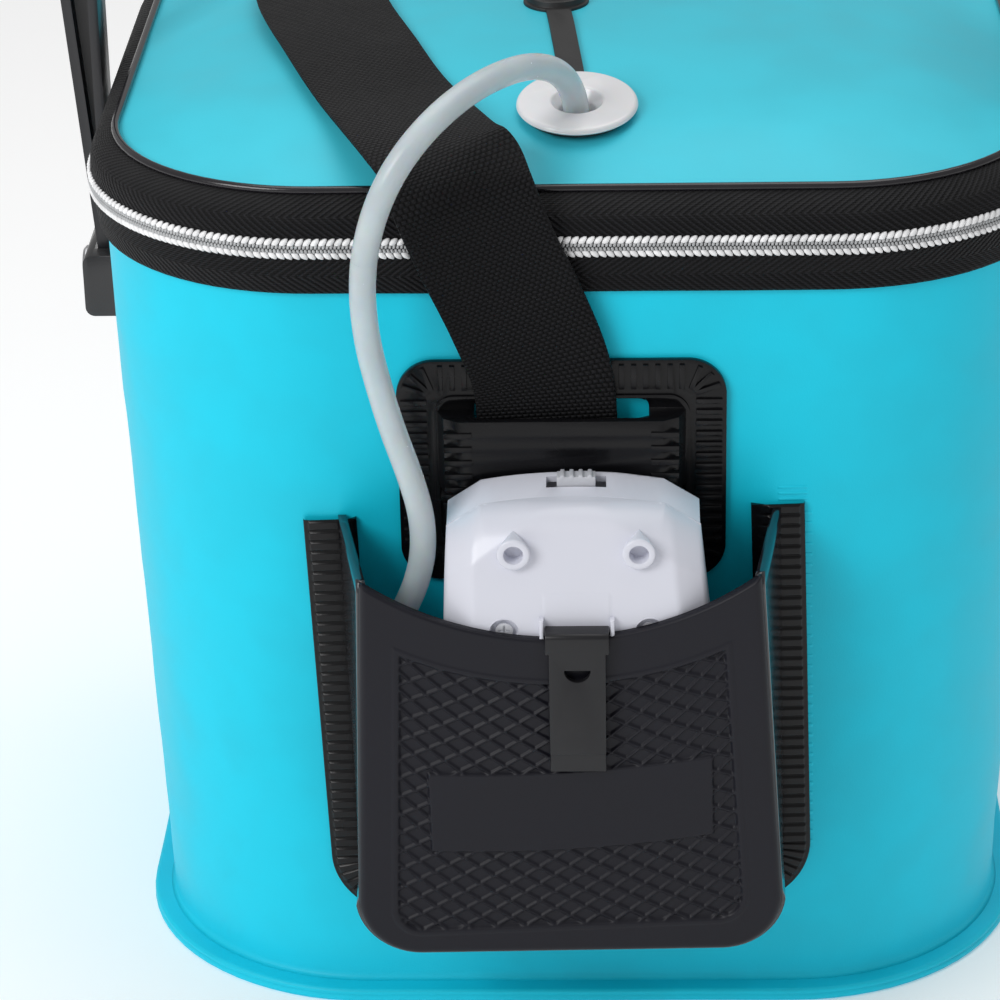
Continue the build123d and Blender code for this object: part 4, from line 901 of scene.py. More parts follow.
# ---- tub
@dataclass
class Tub:
    """Welded tub: wall, foot and the binding inside its rim.

    Attributes:
        wall: Wall thickness.
        rim: Height of the wall's top edge.
        floor: Thickness of the floor board.
        lip: How far the welded foot stands out.
        lip_top: Height of the foot's upper face.
        binding: Height of the rim binding.
        foot: Height and growth of the foot's rows, in mm.
        fillet: Height over the lip and growth of the wall's lowest rows, in mm.
        hem: Height over the rim and growth of the binding's top rows, in mm.
        pinch: Size and length of the waves of the lip's edge.
        waves: Size, length and shift of the wall's waves.
        calm: Where they grow, sideways from the middle, and over what distance.
        calm_share: Share of them nearer the middle.
        side_mark: Weld mark beside the flange: inset, half length, half width, rise.
        top_mark: The same for one above its corner.
        top_marks: Height of the first of those, their pitch in mm, and how many.
    """

    wall: float = 2.2 * MM
    rim: float = 250 * MM
    floor: float = 2.6 * MM
    lip: float = 7.3 * MM
    lip_top: float = 4.6 * MM
    binding: float = 18 * MM
    foot: Rows = (
        (4.7, 0.2), (4.7, 1.5), (4.3, 2.4), (4.4, 5.9), (3.9, 7.0), (3.0, 7.2), (2.6, 6.8), (2.2, 7.2),
        (0.9, 7.3), (0.1, 6.4), (0.0, 5.3),
    )
    fillet: Rows = ((0.0, 1.6), (0.9, 0.55))
    hem: Rows = ((-0.2, 0.0), (-0.3, -1.1), (-4.0, -1.2))
    pinch: Pair = (0.5 * MM, 46 * MM)
    waves: Rows = ((0.35 * MM, 110 * MM, 0.7), (0.12 * MM, 37 * MM, 2.4))
    calm: Pair = (80 * MM, 30 * MM)
    calm_share: float = 0.12
    side_mark: tuple[float, ...] = (1.4 * MM, 2.0 * MM, 0.6 * MM, 0.2 * MM)
    top_mark: tuple[float, ...] = (5.2 * MM, 4.6 * MM, 0.45 * MM, 0.22 * MM)
    top_marks: tuple[float, float, int] = (1.7, 1.9, 3)

    def build(self) -> None:
        """Makes and mounts every piece."""
        self.make_wall()
        self.make_foot()
        self.make_binding()
        self.make_weld_marks()

    def make_wall(self) -> None:
        """Tapered soft wall with a rolled fillet into the foot."""
        top = self.rim - 0.8 * MM
        profile = in_mm(self.fillet, self.lip_top) + [(self.lip_top + 2.4 * MM, 0.0)]
        profile += [(z, 0.0) for z in np.linspace(self.lip_top + 6 * MM, top, 30)]
        profile += [(self.rim, -0.6 * MM), (self.rim, -self.wall + 0.5 * MM)]
        profile += [(z, -self.wall) for z in np.linspace(top, self.floor + 0.2 * MM, 8)]
        rings = [
            self.unevened(ring) if grow == 0.0 else ring
            for (_, grow), ring in zip(profile, FORM.rings(profile))
        ]
        wall = band("tub_wall", rings, EVA_TUB, closed=True)
        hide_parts("tub_shell")
        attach(wall, "bucket")

    def unevened(self, ring: Array) -> Array:
        """The slight unevenness of a soft wall, less where pieces are welded on.

        Args:
            ring: A loop of the wall.

        Returns:
            The uneven loop.
        """
        outward = ring - np.array((0, 0, ring[0][2]))
        outward[:, 2] = 0
        outward /= np.linalg.norm(outward, axis=1)[:, None]
        beside = np.clip((np.abs(ring[:, 0]) - self.calm[0]) / self.calm[1], 0, 1)
        free = self.calm_share + (1 - self.calm_share) * beside
        size = sum(ripple(ring, *wave) for wave in self.waves)
        return ring + outward * (size * free)[:, None]

    def make_foot(self) -> None:
        """Floor board and the welded lip round it, with a pinched edge."""
        board = FORM.ring(0.0, self.lip)
        outward = board / np.linalg.norm(board, axis=1)[:, None]
        pinched = (ripple(board, *self.pinch) - self.pinch[0])[:, None]
        rings = []
        for z, grow in in_mm(self.foot):
            ring = FORM.ring(0.0, grow)
            ring[:, 2] = z
            ring += outward * pinched * max(0.0, grow / self.lip - 0.6)
            rings.append(ring)
        foot = band("tub_foot", rings + drawn_in(rings[-1], (0.8, 0.5, 0.2, 0.02)), EVA_TUB)
        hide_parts("base_board")
        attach(foot, "bucket")
        inside = FORM.ring(self.floor + 0.3 * MM, -self.wall)
        inner_floor = band("tub_floor", drawn_in(inside, (1.0, 0.7, 0.35, 0.02)), EVA_TUB)
        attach(inner_floor, "bucket")

    def make_binding(self) -> None:
        """Cloth binding inside the rim."""
        profile = in_mm(self.hem, self.rim, -self.wall)
        profile += in_mm(((3.0, -1.2), (0.0, -0.8), (0.0, 0.0)), self.rim - self.binding, -self.wall)
        binding = band("rim_cloth", FORM.rings(profile), BINDING)
        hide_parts("rim_binding")
        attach(binding, "bucket")

    def make_weld_marks(self) -> None:
        """Faint ribs that the weld tool left on the wall beside the pocket's flange."""
        pocket = PocketForm()
        vertices: list[Point] = []
        faces: list[tuple[int, ...]] = []
        ups = np.arange(pocket.flange_low + pocket.flange_corner, pocket.top - 2 * MM, pocket.slat_pitch)
        bars = [(up, self.side_mark) for up in ups]
        first, apart, count = self.top_marks
        bars += [(pocket.top + (first + apart * step) * MM, self.top_mark) for step in range(count)]
        for up, (inset, half_x, half_up, rise) in bars:
            start = len(vertices)
            for shrink, out in ((1.0, -0.1 * MM), (0.82, rise * 0.8), (0.6, rise)):
                for dx, du in ((-1, -1), (1, -1), (1, 1), (-1, 1)):
                    x = pocket.flange_half - inset + dx * half_x * shrink
                    vertices.append(pocket.at(x, up + du * half_up * shrink, out))
            for low in (start, start + 4):
                for k in range(4):
                    m = (k + 1) % 4
                    faces.append((low + k, low + m, low + m + 4, low + k + 4))
            faces.append(tuple(range(start + 8, start + 12)))
        marks = new_object("weld_marks", vertices, faces, EVA_TUB)
        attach(marks, "bucket")


# ---- zip
@dataclass
class Zip:
    """Zip round the rim: the two tapes, the teeth and the hinge.

    Attributes:
        split: Half the gap between the two halves.
        tape_low: Height of the lower tape's hem.
        proud: How far the tapes stand off the wall at the teeth.
        pitch: Pitch of the teeth.
        stop_y: The teeth end here, towards the back.
        lower_top: Lower tape: up from the split and out from the teeth's foot, in mm.
        lower_hem: Its hem: up from tape_low and out from the wall, in mm.
        upper: Upper tape, as lower_top.
        lining: Its inner face: up from the split and out from the wall, in mm.
        head: Sections of a tooth's head: height, half width, two reaches, slant, in mm.
        turn: The same for a turn in the middle, grey with painted shade.
        hinge_half: Half the width of the cloth hinge.
        hinge_y: Where it stands, towards the back.
        hinge_low: Height of its foot.
        hinge_high: Height of its top.
        hinge_skin: Half its thickness.
        tuck: How fast, per metre, it turns in under the lid.
        tuck_from: Height where that starts.
    """

    split: float = 0.4 * MM
    tape_low: float = 237.4 * MM
    proud: float = 3.0 * MM
    pitch: float = 2.2 * MM
    stop_y: float = 68 * MM
    lower_top: Rows = ((0.0, -2.7), (0.0, -0.3), (-0.4, 0.0), (-3.2, 0.0), (-5.0, -0.25), (-8.0, -0.45))
    lower_hem: Rows = ((2.2, 2.1), (1.0, 2.05), (0.2, 1.6), (0.0, 0.8), (0.0, 0.05))
    upper: Rows = (
        (0.0, -2.5), (0.0, -0.3), (0.4, 0.0), (3.2, 0.0), (5.5, -0.1), (7.5, -0.6), (9.5, -1.8),
        (11.2, -3.6), (12.5, -5.6), (13.2, -7.2), (13.3, -8.6),
    )
    lining: Rows = ((11.0, -7.6), (8.0, -2.0), (0.0, -1.2))
    head: Rows = (
        (0.70, 0.80, 0.0, 0.85, 0.00), (0.95, 1.08, 0.0, 1.05, 0.10), (1.70, 1.14, 0.0, 1.15, 0.45),
        (2.25, 0.95, 0.0, 0.95, 0.80), (2.70, 0.40, 0.0, 0.45, 1.20),
    )
    turn: Rows = (
        (-0.35, 0.40, 0.1, 0.70, -0.1), (0.15, 0.52, 0.05, 0.95, 0.0), (0.75, 0.50, 0.0, 0.80, 0.15),
    )
    hinge_half: float = 70 * MM
    hinge_y: float = 133.8 * MM
    hinge_low: float = 243.5 * MM
    hinge_high: float = 260.5 * MM
    hinge_skin: float = 0.5 * MM
    tuck: float = 60.0
    tuck_from: float = 256.5 * MM

    def build(self) -> None:
        """Makes every piece and mounts all but the hinge."""
        self.make_lower_tape()
        self.make_upper_tape()
        for upper in (False, True):
            self.make_teeth(upper)
        self.make_hinge()
        softened("zip_slider", STEEL, 0.25 * MM, "slider")
        softened("zip_pull", STEEL, 0.2 * MM, "pull")

    def make_lower_tape(self) -> None:
        """Twill tape on the tub, hemmed at its foot."""
        top = FORM.zip_height - self.split
        profile = in_mm(self.lower_top, top, self.proud) + in_mm(self.lower_hem, self.tape_low)
        rings = []
        for z, grow in profile:
            ring = FORM.ring(z, grow)
            ring[:, 2] += ripple(ring, 0.25 * MM, 75 * MM) * (1 - (z - self.tape_low) / (top - self.tape_low))
            rings.append(ring)
        tape = band("zip_band_lower", rings, ZIP_TAPE)
        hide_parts("zip_tape_lower")
        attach(tape, "bucket")

    def make_upper_tape(self) -> None:
        """The lid's twill side, which rolls in to the welt."""
        low = FORM.zip_height + self.split
        profile = in_mm(self.upper, low, self.proud) + in_mm(self.lining, low)
        tape = band("zip_band_upper", FORM.rings(profile, leaning=False), ZIP_TAPE, closed=True)
        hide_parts("zip_tape_upper")
        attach(tape, "lid")

    def make_teeth(self, upper: bool) -> None:
        """One row of the coil: bright turned heads, and the turns that mesh in the middle, grey with painted
        shade where the two rows meet.

        Args:
            upper: Whether it is the lid's row.
        """
        row, body = ("upper", "lid") if upper else ("lower", "bucket")
        heads = self.make_coil(f"zip_coil_{row}", upper, self.pitch, self.head, COIL)
        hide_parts(f"zip_teeth_{row}")
        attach(heads, body)
        # the middle turns take the grey coil colour, which is painted shade between the rows
        middle = self.make_coil(f"zip_shaded_middle_{row}", upper, self.pitch / 2, self.turn, COIL_PAINTED_SHADE)
        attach(middle, body)

    def make_coil(
        self, name: str, upper: bool, pitch: float, sections: Rows, finish: Finish
    ) -> Object:
        """Repeats one turn along the zip.

        Args:
            name: Piece name.
            upper: Whether it belongs to the lid's row.
            pitch: Distance between two turns.
            sections: Sections of one turn.
            finish: Its finish.

        Returns:
            The object.
        """
        sign = 1 if upper else -1
        line = FORM.ring(FORM.zip_height, self.proud, leaning=False)
        path = np.vstack([line, line[:1]])
        at = travelled(path)
        count = int(at[-1] / pitch)
        vertices: list[Point] = []
        faces: list[tuple[int, ...]] = []
        for index in range(count):
            place = (index + (0.5 if upper else 0.0)) * at[-1] / count
            spot = np.array([np.interp(place, at, path[:, axis]) for axis in range(3)])
            if spot[1] > self.stop_y:
                continue
            ahead = np.array([np.interp(place + 0.5 * MM, at, path[:, axis]) for axis in range(3)])
            along = (ahead - spot) / np.linalg.norm(ahead - spot)
            out = np.array((-along[1], along[0], 0.0))
            if out @ spot < 0:
                out = -out
            self.add_turn(vertices, faces, sections, (spot, along, out), sign)
        return new_object(name, vertices, faces, finish)

    def add_turn(self, vertices: list, faces: list, sections: Rows, place: tuple, sign: int) -> None:
        """Adds one coil turn as a slanted, swelling bar.

        Args:
            vertices: List that its points go on.
            faces: List that its faces go on.
            sections: Its sections, in mm.
            place: Where it stands on the tape, the zip's direction there and the way out.
            sign: 1 above the split and -1 below it.
        """
        spot, along, out = place
        base = FORM.zip_height + sign * self.split
        first, wide = len(vertices), 5
        for height, half, low, high, slant in sections:
            z = base + sign * height * MM
            for side, reach in ((-1, low), (-0.75, high * 0.8), (0, high), (0.75, high * 0.8), (1, low)):
                point = spot + along * (side * half + slant) * MM + out * reach * MM
                vertices.append((point[0], point[1], z))
        for i in range(len(sections) - 1):
            for k in range(wide):
                m = (k + 1) % wide
                a, b = first + i * wide, first + (i + 1) * wide
                quad = (a + k, a + m, b + m, b + k)
                faces.append(quad if sign > 0 else quad[::-1])
        last = first + (len(sections) - 1) * wide
        faces.append(tuple(range(first, first + wide))[::-sign])
        faces.append(tuple(range(last, last + wide))[::sign])

    def make_hinge(self) -> None:
        """Cloth hinge across the back."""
        y = self.hinge_y
        xs = np.linspace(-self.hinge_half, self.hinge_half, 20)
        heights = np.linspace(self.hinge_low, self.hinge_high, 22)
        rings = []
        for out, order in ((self.hinge_skin, heights), (-self.hinge_skin, heights[::-1])):
            for z in order:
                tucked = self.tuck * max(z - self.tuck_from, 0.0) ** 2
                rings.append(np.array([(x, y + out - tucked, z) for x in xs]))
        hinge = band("hinge_cloth", rings, ZIP_TAPE, closed=True, wrap=False)
        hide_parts("hinge_tape")
        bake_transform(hinge)


# ---- lid
@dataclass
class Lid:
    """Domed lid panel with its welt, grommet and tethered plug.

    Attributes:
        edge: Height of the panel's edge.
        inset: How far inside the wall line the edge lies.
        crown: Rise of the dome.
        reach: Share of the dome's arc that the panel covers.
        roll: How far its edge turns down, below the arc.
        roll_from: Share of the way to the edge where it starts to turn.
        thickness: Sheet thickness.
        welt_radius: Radius of the piping.
        grommet: Middle of the grommet on plan.
        hole: Radius of the hole for its neck.
        drill: Length of the drill that opens it.
        skirt: Height and growth of the inner side's rows, in mm.
    """

    edge: float = 268.8 * MM
    inset: float = 6.0 * MM
    crown: float = 15.0 * MM
    reach: float = 0.981
    roll: float = 3.8 * MM
    roll_from: float = 0.72
    thickness: float = 2.0 * MM
    welt_radius: float = 1.25 * MM
    grommet: Pair = (1.5 * MM, -89 * MM)
    hole: float = 7.4 * MM
    drill: float = 60 * MM
    skirt: Rows = ((252.6, -0.2), (252.6, -1.2), (260.5, -2.6), (263.4, -7.4), (264.0, -6.8))

    def build(self) -> None:
        """Makes and mounts every piece."""
        self.make_panel()
        self.make_skirt()
        self.make_welt()
        softened("grommet", WHITE_GLOSS, 0.45 * MM, "lid", 25)
        softened("grommet_nut", WHITE_GLOSS, 0.3 * MM, "lid")
        softened("plug_tether", BLACK_RUBBER, 0.3 * MM, "plug")

    def height(self, share: float) -> float:
        """Height of the outer face at a share of the way from its middle to its edge."""
        turned = self.roll * float(smooth_step(np.array(self.reach * share), self.roll_from, 1.0))
        return self.edge + self.crown * (1 - (self.reach * share) ** 2) - turned

    def dome_row(self, share: float, drop: float) -> Array:
        """Loop on the dome at a share of the way from its middle to its edge.

        Args:
            share: 0 at the middle, 1 at the edge.
            drop: Distance below the outer face.

        Returns:
            The loop.
        """
        ring = FORM.ring(FORM.zip_height, -self.inset, leaning=False)
        row = drawn_in(ring, [share])[0]
        row[:, 2] = self.height(share) - drop
        row[:, 2] += ripple(row, 0.16 * MM, 95 * MM, 1.7) * math.sin(math.pi * min(1.0, share)) ** 0.5
        return row

    def make_panel(self) -> None:
        """Domed sheet with an open hole for the grommet's neck."""
        shares = [1.0, 0.992, 0.98, 0.965] + list(np.linspace(0.94, 0.0006, 34))
        top = [self.dome_row(share, 0.0) for share in shares]
        low = [self.dome_row(share, self.thickness) for share in shares[::-3]]
        panel = band("lid_sheet", top + low, EVA_LID_PAINTED_REFLECTION, closed=True)
        drill = bpy.data.meshes.new("drill")
        work = bmesh.new()
        radii = {"radius1": self.hole, "radius2": self.hole}
        bmesh.ops.create_cone(work, cap_ends=True, segments=48, depth=self.drill, **radii)
        bmesh.ops.translate(work, verts=work.verts, vec=(*self.grommet, self.edge + 8 * MM))
        work.to_mesh(drill)
        work.free()
        cutter = bpy.data.objects.new("drill", drill)
        bpy.context.scene.collection.objects.link(cutter)
        cut = panel.modifiers.new("hole", "BOOLEAN")
        cut.object = cutter
        cut.operation = "DIFFERENCE"
        apply_modifiers(panel)
        bpy.data.objects.remove(cutter)
        crease(panel, 50)
        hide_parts("lid_panel")
        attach(panel, "lid")

    def make_skirt(self) -> None:
        """The panel's inner side, which carries the cloth."""
        skirt = band("lid_skirt", FORM.rings(in_mm(self.skirt), leaning=False), EVA_LID_PAINTED_REFLECTION)
        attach(skirt, "lid")

    def make_welt(self) -> None:
        """Glossy piping along the seam."""
        centre_z = self.height(1.0) + 0.75 * MM
        rows = []
        for step in range(10):
            angle = 2 * math.pi * step / 10
            grow = -self.inset + 0.95 * MM + self.welt_radius * math.cos(angle)
            ring = FORM.ring(FORM.zip_height, grow, leaning=False)
            ring[:, 2] = centre_z + self.welt_radius * math.sin(angle)
            rows.append(ring)
        welt = band("lid_piping", rows, WELT, closed=True)
        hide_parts("lid_welt")
        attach(welt, "lid")


# ---- strap
@dataclass
class Strap:
    """Webbing strap and the moulded patches that hold it.

    Attributes:
        width: Webbing width.
        thickness: Webbing thickness.
        steps: Rows between two stations.
        stations: Middle x, y, z in mm, then the direction across: its angle on plan and its rise.
    """

    width: float = 40 * MM
    thickness: float = 1.6 * MM
    steps: int = 9
    stations: Rows = (
        (-7.6, -133.6, 184.0, 0, 0.02), (-7.6, -133.7, 200.0, 0, 0.1), (-9.4, -134.6, 215.4, 0, 0.3),
        (-16.1, -135.6, 234.1, 0, 0.36), (-24.1, -137.0, 252.8, 0, 0.36), (-29.7, -137.6, 268.0, 8, 0.34),
        (-33.6, -131.6, 276.6, 22, 0.22), (-40.7, -118.6, 279.8, 26, 0.08), (-54.5, -82.4, 280.6, 22, 0.0),
        (-65.2, -49.4, 282.6, 20, 0.0), (-78.0, 0.0, 282.8, 8, 0.0), (-79.0, 42.0, 281.6, -10, 0.0),
        (-68.0, 82.0, 281.0, -20, 0.0), (-54.0, 112.0, 279.6, -22, 0.0), (-43.0, 131.6, 276.4, -14, -0.1),
        (-33.0, 139.4, 264.6, -4, -0.3), (-20.0, 139.6, 250.0, 0, -0.3), (-9.0, 138.8, 237.0, 0, -0.2),
        (-4.0, 137.8, 222.0, 0, 0.0), (-1.0, 136.4, 210.0, 0, 0.0), (0.0, 134.2, 200.0, 0, 0.0),
        (0.0, 133.7, 184.0, 0, 0.0),
    )

    def build(self) -> None:
        """Makes every piece and mounts all but the webbing."""
        self.make_webbing()
        for node in ("strap_patch_front", "strap_patch_back"):
            softened(node, PATCH_PVC, 0.32 * MM, "bucket")
        softened("strap_adjuster", BLACK_GLOSS, 0.5 * MM, "bucket")

    def make_webbing(self) -> None:
        """Woven ribbon along the stations, with its thread map square across and along it."""
        middles = np.array([s[:3] for s in self.stations]) * MM
        turns = np.radians([s[3] for s in self.stations])
        across = np.array([(math.cos(t), math.sin(t), s[4]) for t, s in zip(turns, self.stations)])
        line = smooth_through(middles, self.steps)
        sides = smooth_through(across, self.steps)
        tangents = np.gradient(line, axis=0)
        tangents /= np.linalg.norm(tangents, axis=1)[:, None]
        half, thick = self.width / 2, self.thickness / 2
        flat = [(u, 1.0) for u in np.linspace(-0.8, 0.8, 9)]
        section = [(-1.0, 0.0), (-0.985, 0.8), (-0.95, 1.0), *flat, (0.95, 1.0), (0.985, 0.8)]
        section += [(-u, -w) for u, w in section]
        rows = []
        for point, side, tangent in zip(line, sides, tangents):
            side = side - tangent * (side @ tangent)
            side /= np.linalg.norm(side)
            up = np.cross(side, tangent)
            row = [point + side * u * half + up * (w * thick) for u, w in section]
            rows.append(np.array(row))
        strap = band("strap_webbing", rows, WEBBING)
        index = np.zeros(len(strap.data.loops), np.int64)
        strap.data.loops.foreach_get("vertex_index", index)
        beside = np.array([u for u, _ in section])[index % len(section)] * half + 0.05
        threads = np.stack([beside, travelled(line)[index // len(section)]], 1).astype(np.float32)
        strap.data.uv_layers[THREAD_MAP].data.foreach_set("uv", threads.ravel())
        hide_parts("shoulder_strap")
        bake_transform(strap)


def smooth_through(points: Array, steps: int) -> Array:
    """Smooth line through points, with as many steps in each span.

    Args:
        points: The points.
        steps: Steps in each span.

    Returns:
        The denser line.
    """
    padded = np.vstack([2 * points[0] - points[1], points, 2 * points[-1] - points[-2]])
    out = []
    for i in range(1, len(padded) - 2):
        a, b, c, d = padded[i - 1 : i + 3]
        for step in range(steps):
            t = step / steps
            square, cube = 2 * a - 5 * b + 4 * c - d, 3 * b - a - 3 * c + d
            out.append(0.5 * (2 * b + (c - a) * t + square * t**2 + cube * t**3))
    out.append(points[-1])
    return np.array(out)


# ---- pocket
@dataclass
class PocketForm:
    """Moulded pump pocket: slatted weld flange, gussets and a lattice front.

    Attributes:
        middle_wall: Middle of the pocket at the wall.
        middle_front: Middle of its front face.
        lean_wall: Degrees that it stands askew at the wall.
        lean_front: Degrees that its front stands askew.
        pivot: Height about which it is askew.
        top: Height of its two corners, up the wall.
        depth: From the wall to its front face.
        skin: Wall thickness.
        corner: Radius of the lower corners.
        round_over: Radius of the edges of its front.
        floor_front: Height of its foot at the front.
        floor_wall: The same at the wall.
        half_front: Half its width at the foot of the front.
        half_wall: The same at the wall.
        half_mouth: Half the width of its mouth.
        mouth_dip: Dip of the mouth's arc.
        flange_low: Height of the flange's foot.
        flange_corner: Radius of its corners.
        flange_half: Half its width.
        flange_reach: Width of its band.
        flange_lean: Degrees that it stands askew against the pocket.
        flange_shift: How far it stands aside.
        flange_plate: Its thickness.
        slat_pitch: Pitch of its slats.
        slat_groove: Width of a groove.
        slat_rise: Height of a slat.
        slat_margin: Plain margin outside them.
        lattice_width: Width of a lattice opening.
        lattice_height: Its height.
        lattice_deep: Its depth.
        lattice_inset: Where the lattice ends inside the front's sides.
        lattice_low: The same above its foot.
        lattice_gap: The same below the mouth.
        lattice_corner: Radius of its lower corners.
        lattice_drape: How it follows the mouth: least share, gain, start and rise.
        bar: Start and end of a bar's slope, as shares of the pitch.
        bar_fill: Share of the depth that a bar fills.
        hem: Rise, half width, distance and slope of the rim round the lattice.
        label_half: Half the label's width.
        label_low: Height of its lower edge.
        label_high: Height of its upper edge.
        label_shift: How far it stands aside.
        label_sag: Rise of its ends over its middle.
        label_slope: Its rise to the right.
        cell: Size of the front's mesh cells.
    """

    middle_wall: float = -3.6 * MM
    middle_front: float = -3.1 * MM
    lean_wall: float = 1.0
    lean_front: float = 0.9
    pivot: float = 110 * MM
    top: float = 168.2 * MM
    depth: float = 45 * MM
    skin: float = 2.4 * MM
    corner: float = 19 * MM
    round_over: float = 2.6 * MM
    floor_front: float = 44 * MM
    floor_wall: float = 36 * MM
    half_front: float = 63 * MM
    half_wall: float = 64.5 * MM
    half_mouth: float = 56 * MM
    mouth_dip: float = 18.4 * MM
    flange_low: float = 31 * MM
    flange_corner: float = 22 * MM
    flange_half: float = 72.8 * MM
    flange_reach: float = 15.5 * MM
    flange_lean: float = 0.8
    flange_shift: float = -1.0 * MM
    flange_plate: float = 1.6 * MM
    slat_pitch: float = 3.4 * MM
    slat_groove: float = 0.85 * MM
    slat_rise: float = 0.75 * MM
    slat_margin: float = 1.3 * MM
    lattice_width: float = 8.7 * MM
    lattice_height: float = 5.7 * MM
    lattice_deep: float = 1.15 * MM
    lattice_inset: float = 11.4 * MM
    lattice_low: float = 10.0 * MM
    lattice_gap: float = 14.2 * MM
    lattice_corner: float = 8 * MM
    lattice_drape: tuple[float, ...] = (0.35, 0.5, 60 * MM, 90 * MM)
    bar: Pair = (0.36, 0.485)
    bar_fill: float = 0.72
    hem: tuple[float, ...] = (0.22 * MM, 1.1 * MM, 0.8 * MM, 0.7 * MM)
    label_half: float = 40.5 * MM
    label_low: float = 80.5 * MM
    label_high: float = 106.0 * MM
    label_shift: float = 1.2 * MM
    label_sag: float = 2.2 * MM
    label_slope: float = 0.05
    cell: float = 0.36 * MM

    def build(self) -> None:
        """Makes and mounts every piece."""
        front = self.make_front()
        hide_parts("pump_pocket")
        self.make_walls()
        self.make_flange()

    def at(self, x: float | Array, up: float | Array, out: float | Array) -> Array:
        """Points of the pocket, which stands slightly askew on the wall.

        Args:
            x: Across, from the pocket's middle.
            up: Distance up the wall.
            out: Distance out from it.

        Returns:
            The points, with their coordinates last.
        """
        share = np.clip(np.asarray(out) / self.depth, 0, 1)
        turn = np.radians(self.lean_wall + (self.lean_front - self.lean_wall) * share)
        middle = self.middle_wall + (self.middle_front - self.middle_wall) * share
        above = np.asarray(up) - self.pivot
        across = middle + x * np.cos(turn) - above * np.sin(turn)
        return FORM.front(across, self.pivot + x * np.sin(turn) + above * np.cos(turn), out)

    def narrowing(self, up: Array) -> Array:
        """Share by which the front has narrowed towards the mouth at a height."""
        return np.clip((up - self.floor_front) / (self.top + 12 * MM - self.floor_front), 0, 1)

    def front_half(self, up: Array) -> Array:
        """Half width of the front at a height, without its rounded corners."""
        return self.half_front - (self.half_front - self.half_mouth) * self.narrowing(up)

    @property
    def mouth_radius(self) -> float:
        """Radius of the mouth's arc."""
        return (self.half_mouth**2 + self.mouth_dip**2) / (2 * self.mouth_dip)

    def mouth(self, x: Array) -> Array:
        """Height of the mouth's edge at a place across."""
        held = np.clip(x, -self.half_mouth, self.half_mouth)
        return self.top - self.mouth_dip + self.mouth_radius - np.sqrt(self.mouth_radius**2 - held**2)

    def relief(self, x: Array, up: Array) -> Array:
        """Height of the front's lattice and label, against its plain face.

        Args:
            x: Places across, from its middle.
            up: Heights.

        Returns:
            Signed heights.
        """
        dip = self.mouth(x) - (self.top - self.mouth_dip)
        steep = np.hypot(1.0, np.clip(x, -self.half_mouth, self.half_mouth) / self.mouth_radius)
        side = self.front_half(up) - self.lattice_inset - np.abs(x)
        low = up - self.label_slope * 0.6 * x - self.floor_front - self.lattice_low
        inside = rounded_inside(side, low, self.lattice_corner)
        inside = np.minimum(inside, (self.mouth(x) - up) / steep - self.lattice_gap)
        tilted = up - self.label_slope * x - self.label_sag * (x / self.label_half) ** 2
        label = np.maximum(
            np.abs(x - self.label_shift) - self.label_half,
            np.abs(tilted - (self.label_low + self.label_high) / 2) - (self.label_high - self.label_low) / 2,
        )
        least, gain, start, rise = self.lattice_drape
        drape = least + gain * np.clip((up - start) / rise, 0, 1)
        level = (up - self.label_slope * x - drape * dip) / self.lattice_height
        across = x / self.lattice_width
        leans = (across + level, across - level)
        bars = [smooth_step(np.abs((lean % 1.0) - 0.5), *self.bar) for lean in leans]
        pit = -self.lattice_deep * (1 - self.bar_fill * np.maximum(*bars))
        region = smooth_step(inside, 0.0, 0.9 * MM)
        proud, half, beyond, soft = self.hem
        hem = proud * smooth_step(half - np.abs(inside + beyond), 0.0, soft)
        off_label = smooth_step(label, 0.0, 0.8 * MM)
        return pit * region * off_label + hem * off_label

    def make_front(self) -> Object:
        """Front wall as a fine sheet that follows the mouth, with rolled edges.

        Returns:
            The object.
        """
        columns = int(2 * self.half_front / self.cell)
        rows = int((self.top - self.floor_front) / self.cell)
        share_x = np.linspace(-1, 1, columns + 1)
        reference = np.linspace(self.floor_front, self.top, rows + 1)[:, None]
        low = reference - self.floor_front
        notch = self.corner - np.sqrt(np.maximum(self.corner**2 - np.maximum(self.corner - low, 0) ** 2, 0))
        x = share_x * np.maximum(self.front_half(reference) - notch, 0.001 * MM)
        squeeze = smooth_step((reference - self.floor_front) / (self.top - self.floor_front), 0.15, 1.0)
        up = reference + squeeze * (self.mouth(x) - self.top)
        inside = rounded_inside(self.front_half(up) - np.abs(x), up - self.floor_front, self.corner)
        edge = np.maximum(inside, 0)
        r = self.round_over
        rolled = np.where(edge < r, r - np.sqrt(np.maximum(r**2 - (r - edge) ** 2, 0)), 0.0)
        lip = np.clip((self.mouth(x) - up) / (0.9 * MM), 0, 1)
        lip_roll = 0.9 * MM * (1 - np.sqrt(1 - (1 - lip) ** 2))
        out = self.depth - rolled - lip_roll + self.relief(x, up)
        outer = list(self.at(x, up, out))
        inner_up = np.maximum(up, self.floor_front + 1.2 * MM)
        inner = list(self.at(x * 0.985, inner_up, self.depth - self.skin))[::-6]
        front = band("pocket_front", outer + inner, POCKET_PVC, wrap=False)
        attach(front, "bucket")
        return front

